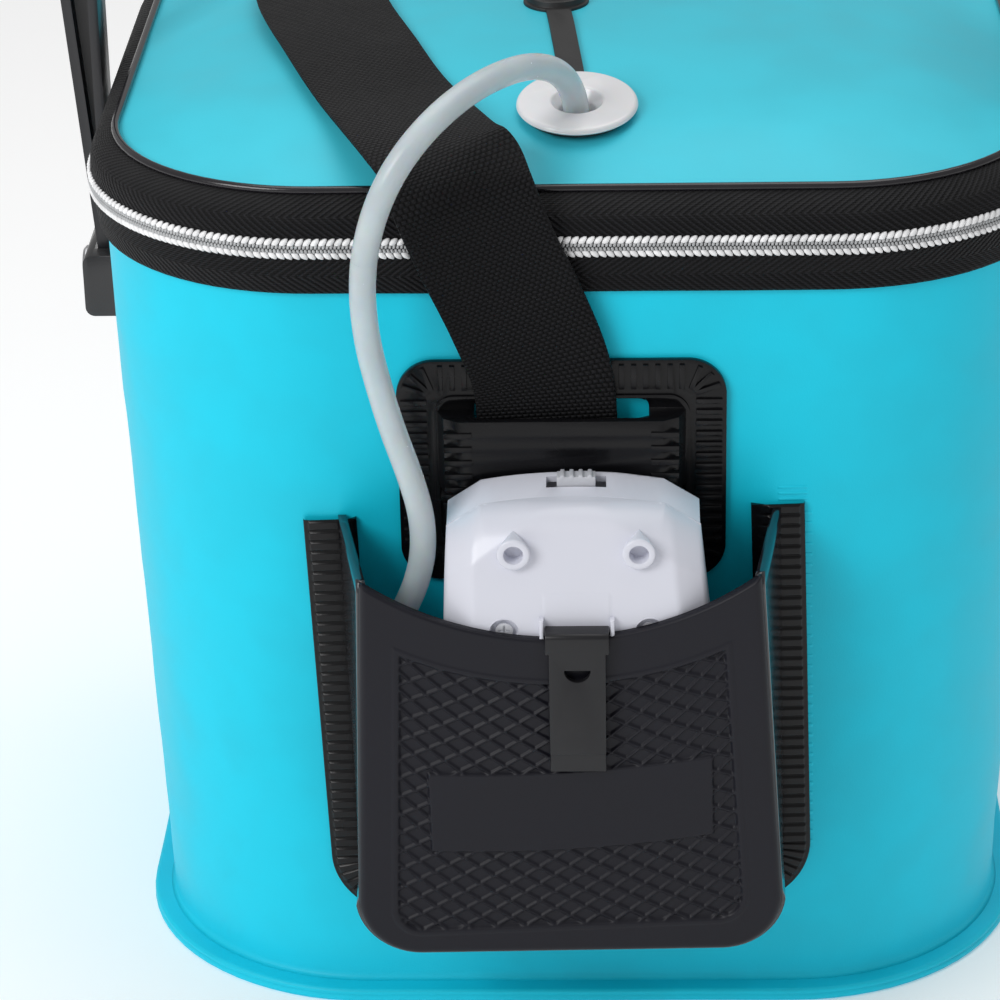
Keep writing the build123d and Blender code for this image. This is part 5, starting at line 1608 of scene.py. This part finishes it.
    def side_line(self, out: float, shrink: float) -> Array:
        """U-shaped section of the pocket parallel to the wall.

        Args:
            out: Distance from the wall.
            shrink: How far inside the outer face it runs.

        Returns:
            Points from the left top corner, down, across and up to the right one.
        """
        share = out / self.depth
        low = self.floor_wall + (self.floor_front - self.floor_wall) * share + shrink
        half_low = self.half_wall + (self.half_front - self.half_wall) * share - shrink
        narrow = (self.half_front - self.half_mouth) * share
        radius = self.corner - shrink
        tall = self.top + 12 * MM
        ups = np.linspace(self.top, low + radius, 24)
        left = [(-half_low + narrow * (up - low) / (tall - low), up) for up in ups]
        left += [
            (-half_low + radius + radius * math.cos(a), low + radius + radius * math.sin(a))
            for a in np.radians(np.linspace(180, 270, 14)[1:])
        ]
        foot = [(x, low) for x in np.linspace(-half_low + radius, half_low - radius, 12)[1:-1]]
        line = np.array(left + foot + [(-x, up) for x, up in left[::-1]])
        return self.at(line[:, 0], line[:, 1], out)

    def make_walls(self) -> None:
        """Gussets and floor of the pocket, thick, with rolled top edges."""
        reach = self.depth - self.round_over
        outs = np.linspace(0.4 * MM, reach + 0.2 * MM, 16)
        outer = [self.side_line(out, 0.0) for out in outs]
        inner = [self.side_line(min(out, self.depth - self.skin), self.skin) for out in outs[::-1]]
        walls = band("pocket_gussets", outer + inner, GUSSET_PVC, closed=True, wrap=False)
        fill_holes(walls)
        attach(walls, "bucket")

    def flange_line(self) -> tuple[Array, Array]:
        """Outer edge of the flange and the direction inwards, at even steps.

        Returns:
            Points as across and up, and unit directions.
        """
        step = self.slat_pitch / 12
        radius = self.flange_corner
        tall = self.top - self.flange_low - radius
        quarter = radius * math.pi / 2
        flat = 2 * (self.flange_half - radius)
        total = 2 * (tall + quarter) + flat
        left = -self.flange_half + radius
        points, inwards = [], []
        for place in np.linspace(0, total, int(total / step) + 1):
            side = 1.0 if place <= total / 2 else -1.0
            run = min(place, total - place)
            if run < tall:
                point, inward = (-self.flange_half, self.top - run), (1.0, 0.0)
            elif run < tall + quarter:
                a = (run - tall) / radius
                inward = (math.cos(a), math.sin(a))
                point = (left - radius * inward[0], self.flange_low + radius - radius * inward[1])
            else:
                point = (left + run - tall - quarter, self.flange_low)
                inward = (0.0, 1.0)
            points.append((side * point[0], point[1]))
            inwards.append((side * inward[0], inward[1]))
        return np.array(points), np.array(inwards)

    def make_flange(self) -> None:
        """Flange on the wall, cut into slats by narrow weld grooves, round the sides and foot."""
        points, inwards = self.flange_line()
        run = travelled(points)
        phase = np.abs((run / self.slat_pitch) % 1.0 - 0.5) * self.slat_pitch
        slat = smooth_step(self.slat_pitch / 2 - phase, self.slat_groove * 0.25, self.slat_groove * 0.75)
        plate, rise, margin = self.flange_plate, self.slat_rise, self.slat_margin
        inner, turn = self.flange_reach, math.radians(self.flange_lean)
        profile = [
            (0.0, -0.05 * MM, 0.0), (0.0, plate - 0.45 * MM, 0.0), (0.15 * MM, plate - 0.1 * MM, 0.0),
            (0.5 * MM, plate, 0.0), (margin, plate, 0.0), (margin + 0.25 * MM, plate, 0.7 * rise),
            (margin + 0.6 * MM, plate, rise), (inner - 5.5 * MM, plate, rise),
            (inner - 4.9 * MM, plate, 0.7 * rise), (inner - 4.4 * MM, plate, 0.1 * rise),
            (inner, plate, 0.0), (inner, -0.05 * MM, 0.0),
        ]
        rows = []
        for reach, base, lifted in profile:
            across, up = (points + inwards * reach).T
            above = up - self.pivot
            turned = across * math.cos(turn) - above * math.sin(turn) + self.flange_shift
            raised = self.pivot + across * math.sin(turn) + above * math.cos(turn)
            rows.append(self.at(turned, raised, base + lifted * slat))
        flange = band("pocket_flange", rows, PATCH_PVC, wrap=False)
        fill_holes(flange)
        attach(flange, "bucket")


def rounded_inside(side: Array, low: Array, radius: float) -> Array:
    """Distance inside an edge that turns a rounded corner.

    Args:
        side: Distance inside its side.
        low: Distance inside its foot.
        radius: The corner's radius.

    Returns:
        The distances, positive inside.
    """
    in_corner = (side < radius) & (low < radius)
    rounded = radius - np.hypot(radius - side, radius - low)
    return np.where(in_corner, rounded, np.minimum(side, low))


def smooth_step(value: Array, low: float, high: float) -> Array:
    """Smooth rise from 0 at low to 1 at high."""
    t = np.clip((value - low) / (high - low), 0, 1)
    return t * t * (3 - 2 * t)


def fill_holes(made: Object) -> None:
    """Closes the open ends of a mesh.

    Args:
        made: The object.
    """
    work = bmesh.new()
    work.from_mesh(made.data)
    bmesh.ops.holes_fill(work, edges=work.edges, sides=0)
    bmesh.ops.recalc_face_normals(work, faces=work.faces)
    work.to_mesh(made.data)
    work.free()


# ---- pump
def soft_ramp(value: Array, soft: float) -> Array:
    """The value where it is positive and 0 elsewhere, with a soft start.

    Args:
        value: The values.
        soft: Half the length of the soft start.

    Returns:
        The ramp.
    """
    start = (np.clip(value, -soft, soft) + soft) ** 2 / (4 * soft)
    return np.where(value > soft, value, start)


def round_drop(inside: Array, radius: float) -> Array:
    """How far a rounded edge has fallen at a distance inside it."""
    left = np.clip(radius - inside, 0, radius)
    return radius - np.sqrt(radius**2 - left**2)


@dataclass
class Pump:
    """Battery air pump in the pocket.

    Attributes:
        edge: Rounding of the inner half's edges.
        middle: Its middle, across the wall.
        half: Half its width, up to the height where it narrows.
        narrow_from: That height, up the wall.
        narrow_over: The distance over which it narrows.
        narrow_by: How much it narrows on each side.
        drift: How far it moves across there.
        low: Height of its foot.
        foot_corner: Radius of its lower corners.
        top: Height of its arched top at the parting line.
        slope: Rise of the top from there to its back edge.
        slope_from: Where that edge is, out from the wall.
        arch: Rise of the arch.
        corner_x: Width of its cut top corners.
        corner_up: Height of the cut corners.
        split: Parting line between its halves, out from the wall.
        face: Its outer face, out from the wall.
        lean_from: The face leans back above this height.
        lean_curve: How fast, per metre.
        top_round: Rounding of the face's top edge.
        side_round: Rounding of its side edges.
        side_from: Where the face starts to fall off beside its middle.
        side_slope: Slope of that fall.
        facet: Width of the facets below the cut corners.
        facet_slope: Their slope.
        plate: Half width, half height, middle height and rise of the bare plate.
        skin: Wall thickness.
        drawn_up: Height of the inner face as a share of the outer one's.
        switch_half: Half the width that stays straight round the switch.
        boss: Middle of a boss, across and up.
        boss_radius: Its radius.
        boss_end: Its end, out from the wall.
        boss_root: Its root, out from the wall.
        boss_rows: Rows up its root and wall.
        boss_mouth: Its mouth: radius and distance behind its end, in mm.
        bore: Radius of the bed in it and the bed's distance from the wall.
        screw: Middle of a screw recess, across and up.
        cup: A screw cup: radius and distance behind the face, in mm.
        bed: Radius of the bed under it and the bed's distance from the wall.
        lug: Middle of a lug beside the clip, across and up.
        lug_rows: Half width, half height and rise over the face, in mm.
        cell: Size of the face's mesh cells.
        fine: How far down from the top they are that fine.
    """

    edge: float = 0.5 * MM
    middle: float = 0.6 * MM
    half: float = 38 * MM
    narrow_from: float = 150 * MM
    narrow_over: float = 30 * MM
    narrow_by: float = 2.2 * MM
    drift: float = -1.0 * MM
    low: float = 81.4 * MM
    foot_corner: float = 8 * MM
    top: float = 185.4 * MM
    slope: float = 2.0 * MM
    slope_from: float = 13.5 * MM
    arch: float = 2.4 * MM
    corner_x: float = 10 * MM
    corner_up: float = 6.5 * MM
    split: float = 25.3 * MM
    face: float = 42.3 * MM
    lean_from: float = 152 * MM
    lean_curve: float = 7.5
    top_round: float = 6 * MM
    side_round: float = 1.3 * MM
    side_from: float = 29.5 * MM
    side_slope: float = 0.45
    facet: float = 9 * MM
    facet_slope: float = 0.5
    plate: tuple[float, ...] = (9.6 * MM, 5.5 * MM, 157.5 * MM, 0.12 * MM)
    skin: float = 2 * MM
    drawn_up: float = 0.965
    switch_half: float = 10 * MM
    boss: Pair = (17.6 * MM, 175.2 * MM)
    boss_radius: float = 4.75 * MM
    boss_end: float = 41.8 * MM
    boss_root: float = 35.3 * MM
    boss_rows: int = 9
    boss_mouth: Rows = ((3.15, 0.0), (2.85, 0.1), (2.75, 0.4), (2.75, 4.4), (0.02, 4.42))
    bore: Pair = (2.95 * MM, 36.9 * MM)
    screw: Pair = (20.6 * MM, 151 * MM)
    cup: Rows = ((4.6, 0.4), (4.45, -0.03), (4.2, -0.03), (3.7, 1.6), (3.5, 1.9), (1.2, 1.9), (1.2, 2.6))
    bed: Pair = (4.0 * MM, 39.4 * MM)
    lug: Pair = (10 * MM, 152.8 * MM)
    lug_rows: Rows = ((0.6, 3.0, -0.5), (0.6, 3.0, 1.9), (0.45, 2.75, 2.2), (0.25, 2.4, 2.3))
    cell: float = 0.42 * MM
    fine: float = 46 * MM

    def build(self) -> None:
        """Makes and mounts every piece."""
        shell = self.make_shell()
        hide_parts("pump_back_case")
        self.make_fittings()
        self.taper(softened("pump_front_case", PUMP_SHELL, self.edge, "pump", 24))
        softened("battery_cover", PUMP_SHELL, 0.2 * MM, "battery_door")
        softened("belt_clip", CLIP_PLASTIC, 0.3 * MM, "pump")
        softened("pump_switch", SWITCH_GREY, 0.25 * MM, "switch")
        for node in ("battery_contacts", "pump_motor"):
            dress_node(node, STEEL)
        for node in ("crank_wheel", "push_rod", "valve_box"):
            dress_node(node, ACETAL)
        dress_node("cells", CELL_SLEEVE)
        dress_node("diaphragm", BLACK_RUBBER)
        dress_node("outlet_nozzle", WHITE_GLOSS)
        dress_node("case_screws", SCREW_BRIGHT)

    def narrowed(self, x: Array, up: Array) -> Array:
        """Places across after the case has narrowed towards its top.

        Args:
            x: Places across, from the pump's middle, on a case that doesn't narrow.
            up: Heights.

        Returns:
            The places.
        """
        share = np.clip((up - self.narrow_from) / self.narrow_over, 0, 1.25)
        return x * (1 - share * self.narrow_by / self.half) + share * self.drift

    def face_height(self, x: Array, up: Array) -> Array:
        """Plain outer face: it leans back at the top and falls off at its sides and corners.

        Args:
            x: Places across, before narrowing.
            up: Heights.

        Returns:
            Distances out from the wall.
        """
        wide = np.abs(x)
        shoulder = self.half - self.corner_x
        arched = self.top - self.arch * (np.minimum(wide, shoulder) / shoulder) ** 2
        slant = math.hypot(self.corner_x, self.corner_up)
        cut = ((shoulder - wide) * self.corner_up + (self.top - self.arch - up) * self.corner_x) / slant
        out = self.face - self.lean_curve * np.maximum(up - self.lean_from, 0) ** 2
        out = out - self.side_slope * soft_ramp(wide - self.side_from, 1.0 * MM)
        out = out - self.facet_slope * soft_ramp(self.facet - cut, 0.8 * MM)
        out = out - round_drop(np.minimum(arched - up, cut), self.top_round)
        return out - round_drop(self.half - wide, self.side_round)

    def add_details(self, x: Array, up: Array, out: Array) -> Array:
        """Adds the bare plate and the beds under the screw cups and in the bosses.

        Args:
            x: Places across.
            up: Heights.
            out: The plain face.

        Returns:
            Distances out from the wall.
        """
        half_x, half_up, middle, rise = self.plate
        plate = smooth_step(half_x - np.abs(x), 0.0, 0.5 * MM)
        plate = plate * smooth_step(half_up - np.abs(up - middle), 0.0, 0.5 * MM)
        out = out + rise * plate
        for side in (-1, 1):
            for place, (radius, level) in ((self.screw, self.bed), (self.boss, self.bore)):
                away = np.hypot(x - side * place[0], up - place[1])
                out = np.where(away < radius, level, out)
        return out

    def make_shell(self) -> Object:
        """Outer half of the case, as a sheet with its inner face.

        Returns:
            The object.
        """
        ease = 1 - np.cos(np.radians(np.linspace(0, 90, 7)))
        side = self.half - self.side_round * ease
        flat = np.arange(side[-1] - self.cell, 0, -self.cell)
        nominal = np.concatenate([-side, -flat, [0.0], flat[::-1], side[::-1]])
        beyond = np.maximum(np.abs(nominal) - (self.half - self.foot_corner), 0)
        foot = self.low + self.foot_corner - np.sqrt(np.maximum(self.foot_corner**2 - beyond**2, 0))
        shoulder = self.half - self.corner_x
        wide = np.abs(nominal)
        head = self.top - self.arch * (np.minimum(wide, shoulder) / shoulder) ** 2
        head = head - self.corner_up * np.clip((wide - shoulder) / self.corner_x, 0, 1)
        near = self.top_round * (1 - np.cos(np.radians(np.linspace(0, 90, 14))))
        falls = np.concatenate([near, np.arange(near[-1] + self.cell, self.fine, self.cell)])
        upper = head[None, :] - falls[:, None]
        share = np.linspace(0, 1, 26)[1:, None]
        lower = upper[-1:] + (foot[None, :] - upper[-1:]) * share
        up = np.vstack([upper, lower])
        flat_x = np.broadcast_to(nominal, up.shape)
        x = self.narrowed(flat_x, up)
        out = self.add_details(x, up, self.face_height(flat_x, up))
        out = np.maximum(out, self.split + 0.2 * MM)
        x, up = np.pad(x, 1, mode="edge"), np.pad(up, 1, mode="edge")
        out = np.pad(out, 1, constant_values=self.split)
        centre = (self.top + self.low) / 2
        drawn = 1 - self.skin / self.half
        inner_out = np.maximum(out - self.skin, self.split)
        outer = FORM.front(self.middle + x, up, out)
        inner = FORM.front(self.middle + x * drawn, centre + (up - centre) * self.drawn_up, inner_out)[::-4]
        shell = band("pump_shell", list(outer) + list(inner), PUMP_SHELL, closed=True, wrap=False)
        fill_holes(shell)
        self.mount(shell)
        return shell

    def make_fittings(self) -> None:
        """Bosses, the cups round the screws and the lugs beside the clip."""
        ring, end = self.boss_radius, self.boss_end
        kept = [(1 - share) ** 0.5 for share in np.linspace(0.98, 0.0, self.boss_rows)]
        ways = np.linspace(self.boss_root, end - 0.6 * MM, self.boss_rows)
        boss = [(ring, way, share) for way, share in zip(ways, kept)]
        boss += [(ring - 0.17 * MM, end - 0.17 * MM, 1.0), (ring - 0.6 * MM, end, 1.0)]
        boss += [(radius * MM, end - behind * MM, 1.0) for radius, behind in self.boss_mouth]
        cup = [(radius * MM, self.face - behind * MM, 1.0) for radius, behind in self.cup]
        for side, word in ((-1, "left"), (1, "right")):
            self.make_turned(f"pump_boss_{word}", side * self.boss[0], self.boss[1], boss)
            self.make_turned(f"pump_cup_{word}", side * self.screw[0], self.screw[1], cup)
            self.make_lug(f"pump_lug_{word}", side * self.lug[0], self.lug[1])

    def make_turned(self, name: str, x: float, up: float, profile: list) -> None:
        """Makes and mounts a round fitting.

        Args:
            name: Piece name.
            x: Its middle across, from the pump's middle.
            up: Its middle up the wall.
            profile: Radius, distance from the wall and share of the width of each row.
        """
        turns = np.linspace(0, 2 * math.pi, 48, endpoint=False)
        rows = [
            [(x + r * share * math.cos(turn), up + r * math.sin(turn), way) for r, way, share in profile]
            for turn in turns
        ]
        local = np.array(rows)
        points = FORM.front(self.middle + local[..., 0], local[..., 1], local[..., 2])
        self.mount(band(name, list(points), PUMP_SHELL, closed=True, wrap=False))

    def make_lug(self, name: str, x: float, up: float) -> None:
        """Makes and mounts a lug with sloped edges.

        Args:
            name: Piece name.
            x: Its middle across, from the pump's middle.
            up: Its middle up the wall.
        """
        across, along = np.array(((-1, 1, 1, -1), (-1, -1, 1, 1)))
        rows = [
            FORM.front(self.middle + x + across * wide * MM, up + along * tall * MM, self.face + rise * MM)
            for wide, tall, rise in self.lug_rows
        ]
        lug = band(name, rows, PUMP_SHELL)
        fill_holes(lug)
        self.mount(lug)

    @staticmethod
    def mount(piece: Object) -> None:
        """Puts a part of the case on the pump's body, with crisp edges."""
        crease(piece, 50)
        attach(piece, "pump")

    def taper(self, inner_half: Object) -> None:
        """Narrows the inner half of the case as the outer one is.

        Args:
            inner_half: The piece.
        """
        mesh = inner_half.data
        held = np.zeros(3 * len(mesh.vertices), np.float32)
        mesh.vertices.foreach_get("co", held)
        local = FORM.from_front(held.reshape(-1, 3).astype(float))
        straight = local[:, 0] - self.middle
        beside = smooth_step(np.abs(straight), self.switch_half, 2 * self.switch_half)
        x = straight + (self.narrowed(straight, local[:, 1]) - straight) * beside + self.middle
        back = np.clip((local[:, 2] - self.slope_from) / (self.split - self.slope_from), 0, 1)
        raised = smooth_step(local[:, 1], self.narrow_from + self.skin, self.top - self.corner_up - self.arch)
        moved = FORM.front(x, local[:, 1] - self.slope * back * raised, local[:, 2])
        mesh.vertices.foreach_set("co", moved.astype(np.float32).ravel())
        mesh.update()


# ---- air line
@dataclass
class AirLine:
    """Silicone hose in three stretches, and the stone at its end.

    Attributes:
        radius: Outer radius.
        bore: Inner radius.
        sides: Points round the tube.
        fork: Where the stretch that follows the pump ends, in mm.
        neck: Where the hose goes into the grommet, in mm.
        route: Points that its line is drawn to, in mm.
    """

    radius: float = 3.75 * MM
    bore: float = 2.2 * MM
    sides: int = 28
    fork: Point = (-56.8, -155.0, 258.0)
    neck: Point = (1.6, -88.2, 268.0)
    route: tuple[Point, ...] = (
        (-44.7, -151.8, 118.0), (-52.6, -151.7, 118.4), (-57.4, -151.2, 125.4), (-55.6, -150.0, 135.0),
        (-50.6, -149.3, 144.4), (-45.8, -150.2, 154.6), (-43.0, -152.2, 166.5), (-43.0, -154.0, 179.0),
        (-46.0, -154.6, 192.0), (-50.4, -153.6, 205.0), (-54.0, -152.2, 218.0), (-56.8, -151.6, 231.0),
        (-57.8, -152.6, 244.5), (-56.8, -155.0, 258.0), (-53.4, -157.2, 271.6), (-47.8, -156.6, 283.6),
        (-40.0, -151.4, 292.8), (-30.6, -141.0, 298.6), (-20.6, -127.4, 300.4), (-10.8, -113.4, 298.8),
        (-3.0, -101.0, 292.6), (1.2, -91.4, 281.6), (1.6, -87.9, 268.0), (2.2, -86.4, 251.0),
        (4.4, -85.0, 232.0), (6.8, -83.2, 212.0), (7.6, -80.6, 188.0), (6.0, -78.4, 164.0),
        (2.4, -76.6, 140.0), (-1.8, -73.6, 116.0), (-5.4, -69.4, 92.0), (-7.6, -62.6, 68.0),
        (-7.2, -52.6, 46.0), (-4.6, -39.0, 28.6), (0.0, -24.6, 17.0), (4.6, -10.6, 12.0), (8.4, 3.0, 10.9),
    )

    def build(self) -> None:
        """Makes every piece."""
        line = self.centreline()
        first, second = self.nearest(line, self.fork), self.nearest(line, self.neck)
        dress_node("air_stone", STONE_GRIT)
        lower = self.stretch("hose_lower", line[: first + 1])
        upper = self.stretch("hose_upper", line[first : second + 1])
        inner = self.stretch("hose_inner", line[second:])
        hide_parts("air_hose")
        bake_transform(lower)
        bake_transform(upper)
        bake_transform(inner)

    def centreline(self) -> Array:
        """Smooth line of the hose, from the route's own spline.

        Returns:
            Points along it.
        """
        curve = bpy.data.curves.new("hose_route", "CURVE")
        curve.dimensions = "3D"
        spline = curve.splines.new("NURBS")
        spline.points.add(len(self.route) - 1)
        for held, point in zip(spline.points, self.route):
            held.co = (*(value * MM for value in point), 1.0)
        spline.order_u = 3
        spline.use_endpoint_u = True
        spline.resolution_u = 8
        made = bpy.data.objects.new("hose_route", curve)
        mesh = bpy.data.meshes.new_from_object(made)
        line = np.array([tuple(v.co) for v in mesh.vertices])
        bpy.data.objects.remove(made)
        bpy.data.meshes.remove(mesh)
        return line

    @staticmethod
    def nearest(line: Array, point: Point) -> int:
        """Index of the line's point nearest a point in millimetres."""
        return int(np.argmin(np.linalg.norm(line - np.array(point) * MM, axis=1)))

    def stretch(self, name: str, path: Array) -> Object:
        """One stretch of tube with its bore.

        Args:
            name: Piece name.
            path: Its centreline.

        Returns:
            The object.
        """
        outer = tube_rows(path, self.radius, self.sides)
        inner = tube_rows(path, self.bore, self.sides)
        made = band(name, outer + inner[::-1], SILICONE, closed=True)
        crease(made, 60)
        return made


# ---- bail
@dataclass
class Bail:
    """Rigid bail, its grip, brackets and pins.

    Attributes:
        edge: Rounding of the edges.
    """

    edge: float = 0.5 * MM

    def build(self) -> None:
        """Makes and mounts every piece."""
        softened("bail_handle", BAIL_PLASTIC, self.edge, "bail")
        softened("bail_grip", BLACK_RUBBER, self.edge, "bail")
        for node in ("bracket_left", "bracket_right"):
            softened(node, BLACK_GLOSS, 0.4 * MM, "bucket")
        dress_node("pivot_pins", STEEL)


# ---- studio
@dataclass(frozen=True)
class View:
    """Camera that looks down at the front.

    Attributes:
        place: Where it stands.
        pitch: Degrees it looks down.
        yaw: Degrees it turns from +Y towards +X.
        roll: Degrees it leans.
        focal: Focal length in picture widths.
    """

    place: Point = (0.01229, -1.10102, 0.63546)
    pitch: float = 25.482
    yaw: float = -2.005
    roll: float = -1.260
    focal: float = 3.7213

    def build(self) -> None:
        """Makes the camera and sets it as the scene's."""
        pitch, yaw, roll = (math.radians(v) for v in (self.pitch, self.yaw, self.roll))
        ahead = Vector((math.sin(yaw) * math.cos(pitch), math.cos(yaw) * math.cos(pitch), -math.sin(pitch)))
        right = Vector((math.cos(yaw), -math.sin(yaw), 0.0))
        up = right.cross(ahead)
        leaned = right * math.cos(roll) + up * math.sin(roll)
        above = up * math.cos(roll) - right * math.sin(roll)
        data = bpy.data.cameras.new("camera")
        data.sensor_width = 36.0
        data.lens = 36.0 * self.focal
        data.clip_start = 0.01
        camera = bpy.data.objects.new("camera", data)
        bpy.context.scene.collection.objects.link(camera)
        turn = Matrix((leaned, above, -ahead)).transposed().to_4x4()
        camera.matrix_world = Matrix.Translation(self.place) @ turn
        bpy.context.scene.camera = camera


@dataclass
class Studio:
    """Pale floor, pale surroundings and soft lights.

    Attributes:
        reach: Half the size of the floor.
        surround: Strength of the surroundings' light.
        lights: Name, place, where it aims, size and power of each light.
    """

    reach: float = 4.0
    surround: float = 0.42
    lights: tuple[tuple, ...] = (
        ("key", (-1.0, -1.1, 1.1), (0.0, 0.0, 0.15), 0.8, 13.0),
        ("top", (0.1, 0.3, 1.6), (0.0, 0.0, 0.2), 1.2, 9.0),
    )

    def build(self) -> None:
        """Makes the floor, the world and the lights."""
        corners = [(x * self.reach, y * self.reach, 0) for x, y in ((-1, -1), (1, -1), (1, 1), (-1, 1))]
        floor = new_object("floor", corners, [(0, 1, 2, 3)], FLOOR)
        world = bpy.data.worlds.new("surround")
        world.use_nodes = True
        values = {"Color": (1.0, 1.0, 1.0), "Strength": self.surround}
        Graph(world.node_tree).fill(world.node_tree.nodes["Background"], values)
        bpy.context.scene.world = world
        for name, place, aim, wide, power in self.lights:
            data = bpy.data.lights.new(name, "AREA")
            data.size = wide
            data.energy = power
            light = bpy.data.objects.new(name, data)
            bpy.context.scene.collection.objects.link(light)
            light.location = place
            light.rotation_euler = (Vector(aim) - Vector(place)).to_track_quat("-Z", "Y").to_euler()
        bpy.context.scene.view_settings.view_transform = "Standard"


@dataclass(frozen=True)
class FloorFinish(Finish):
    """Pale, faintly uneven paper sweep."""

    def dress(self, graph: Graph, shader: Node) -> None:
        """Builds the faint mottling.

        Args:
            graph: Helper on its tree.
            shader: Its Principled node.
        """
        mottled = graph.noise(graph.place(), 14.0, 4.0, 0.6)
        graph.fill(shader, {
            "Base Color": graph.mix(mottled, self.tone(0.985), self.color),
            "Specular IOR Level": 0.2,
            "Emission Color": (1.0, 1.0, 1.0),
            "Emission Strength": 0.2,
        })


FLOOR = FloorFinish("floor_paper", (0.93, 0.93, 0.93), 0.7)


def main() -> None:
    """Builds the whole scene."""
    View().build()
    Studio().build()
    steps: list[tuple[str, Callable[[], None]]] = [
        ("tub", Tub().build),
        ("zip", Zip().build),
        ("lid", Lid().build),
        ("strap", Strap().build),
        ("pocket", PocketForm().build),
        ("pump", Pump().build),
        ("air line", AirLine().build),
        ("bail", Bail().build),
    ]
    for name, step in steps:
        step()
        log.info("%s built", name)


if __name__ == "__main__":
    main()
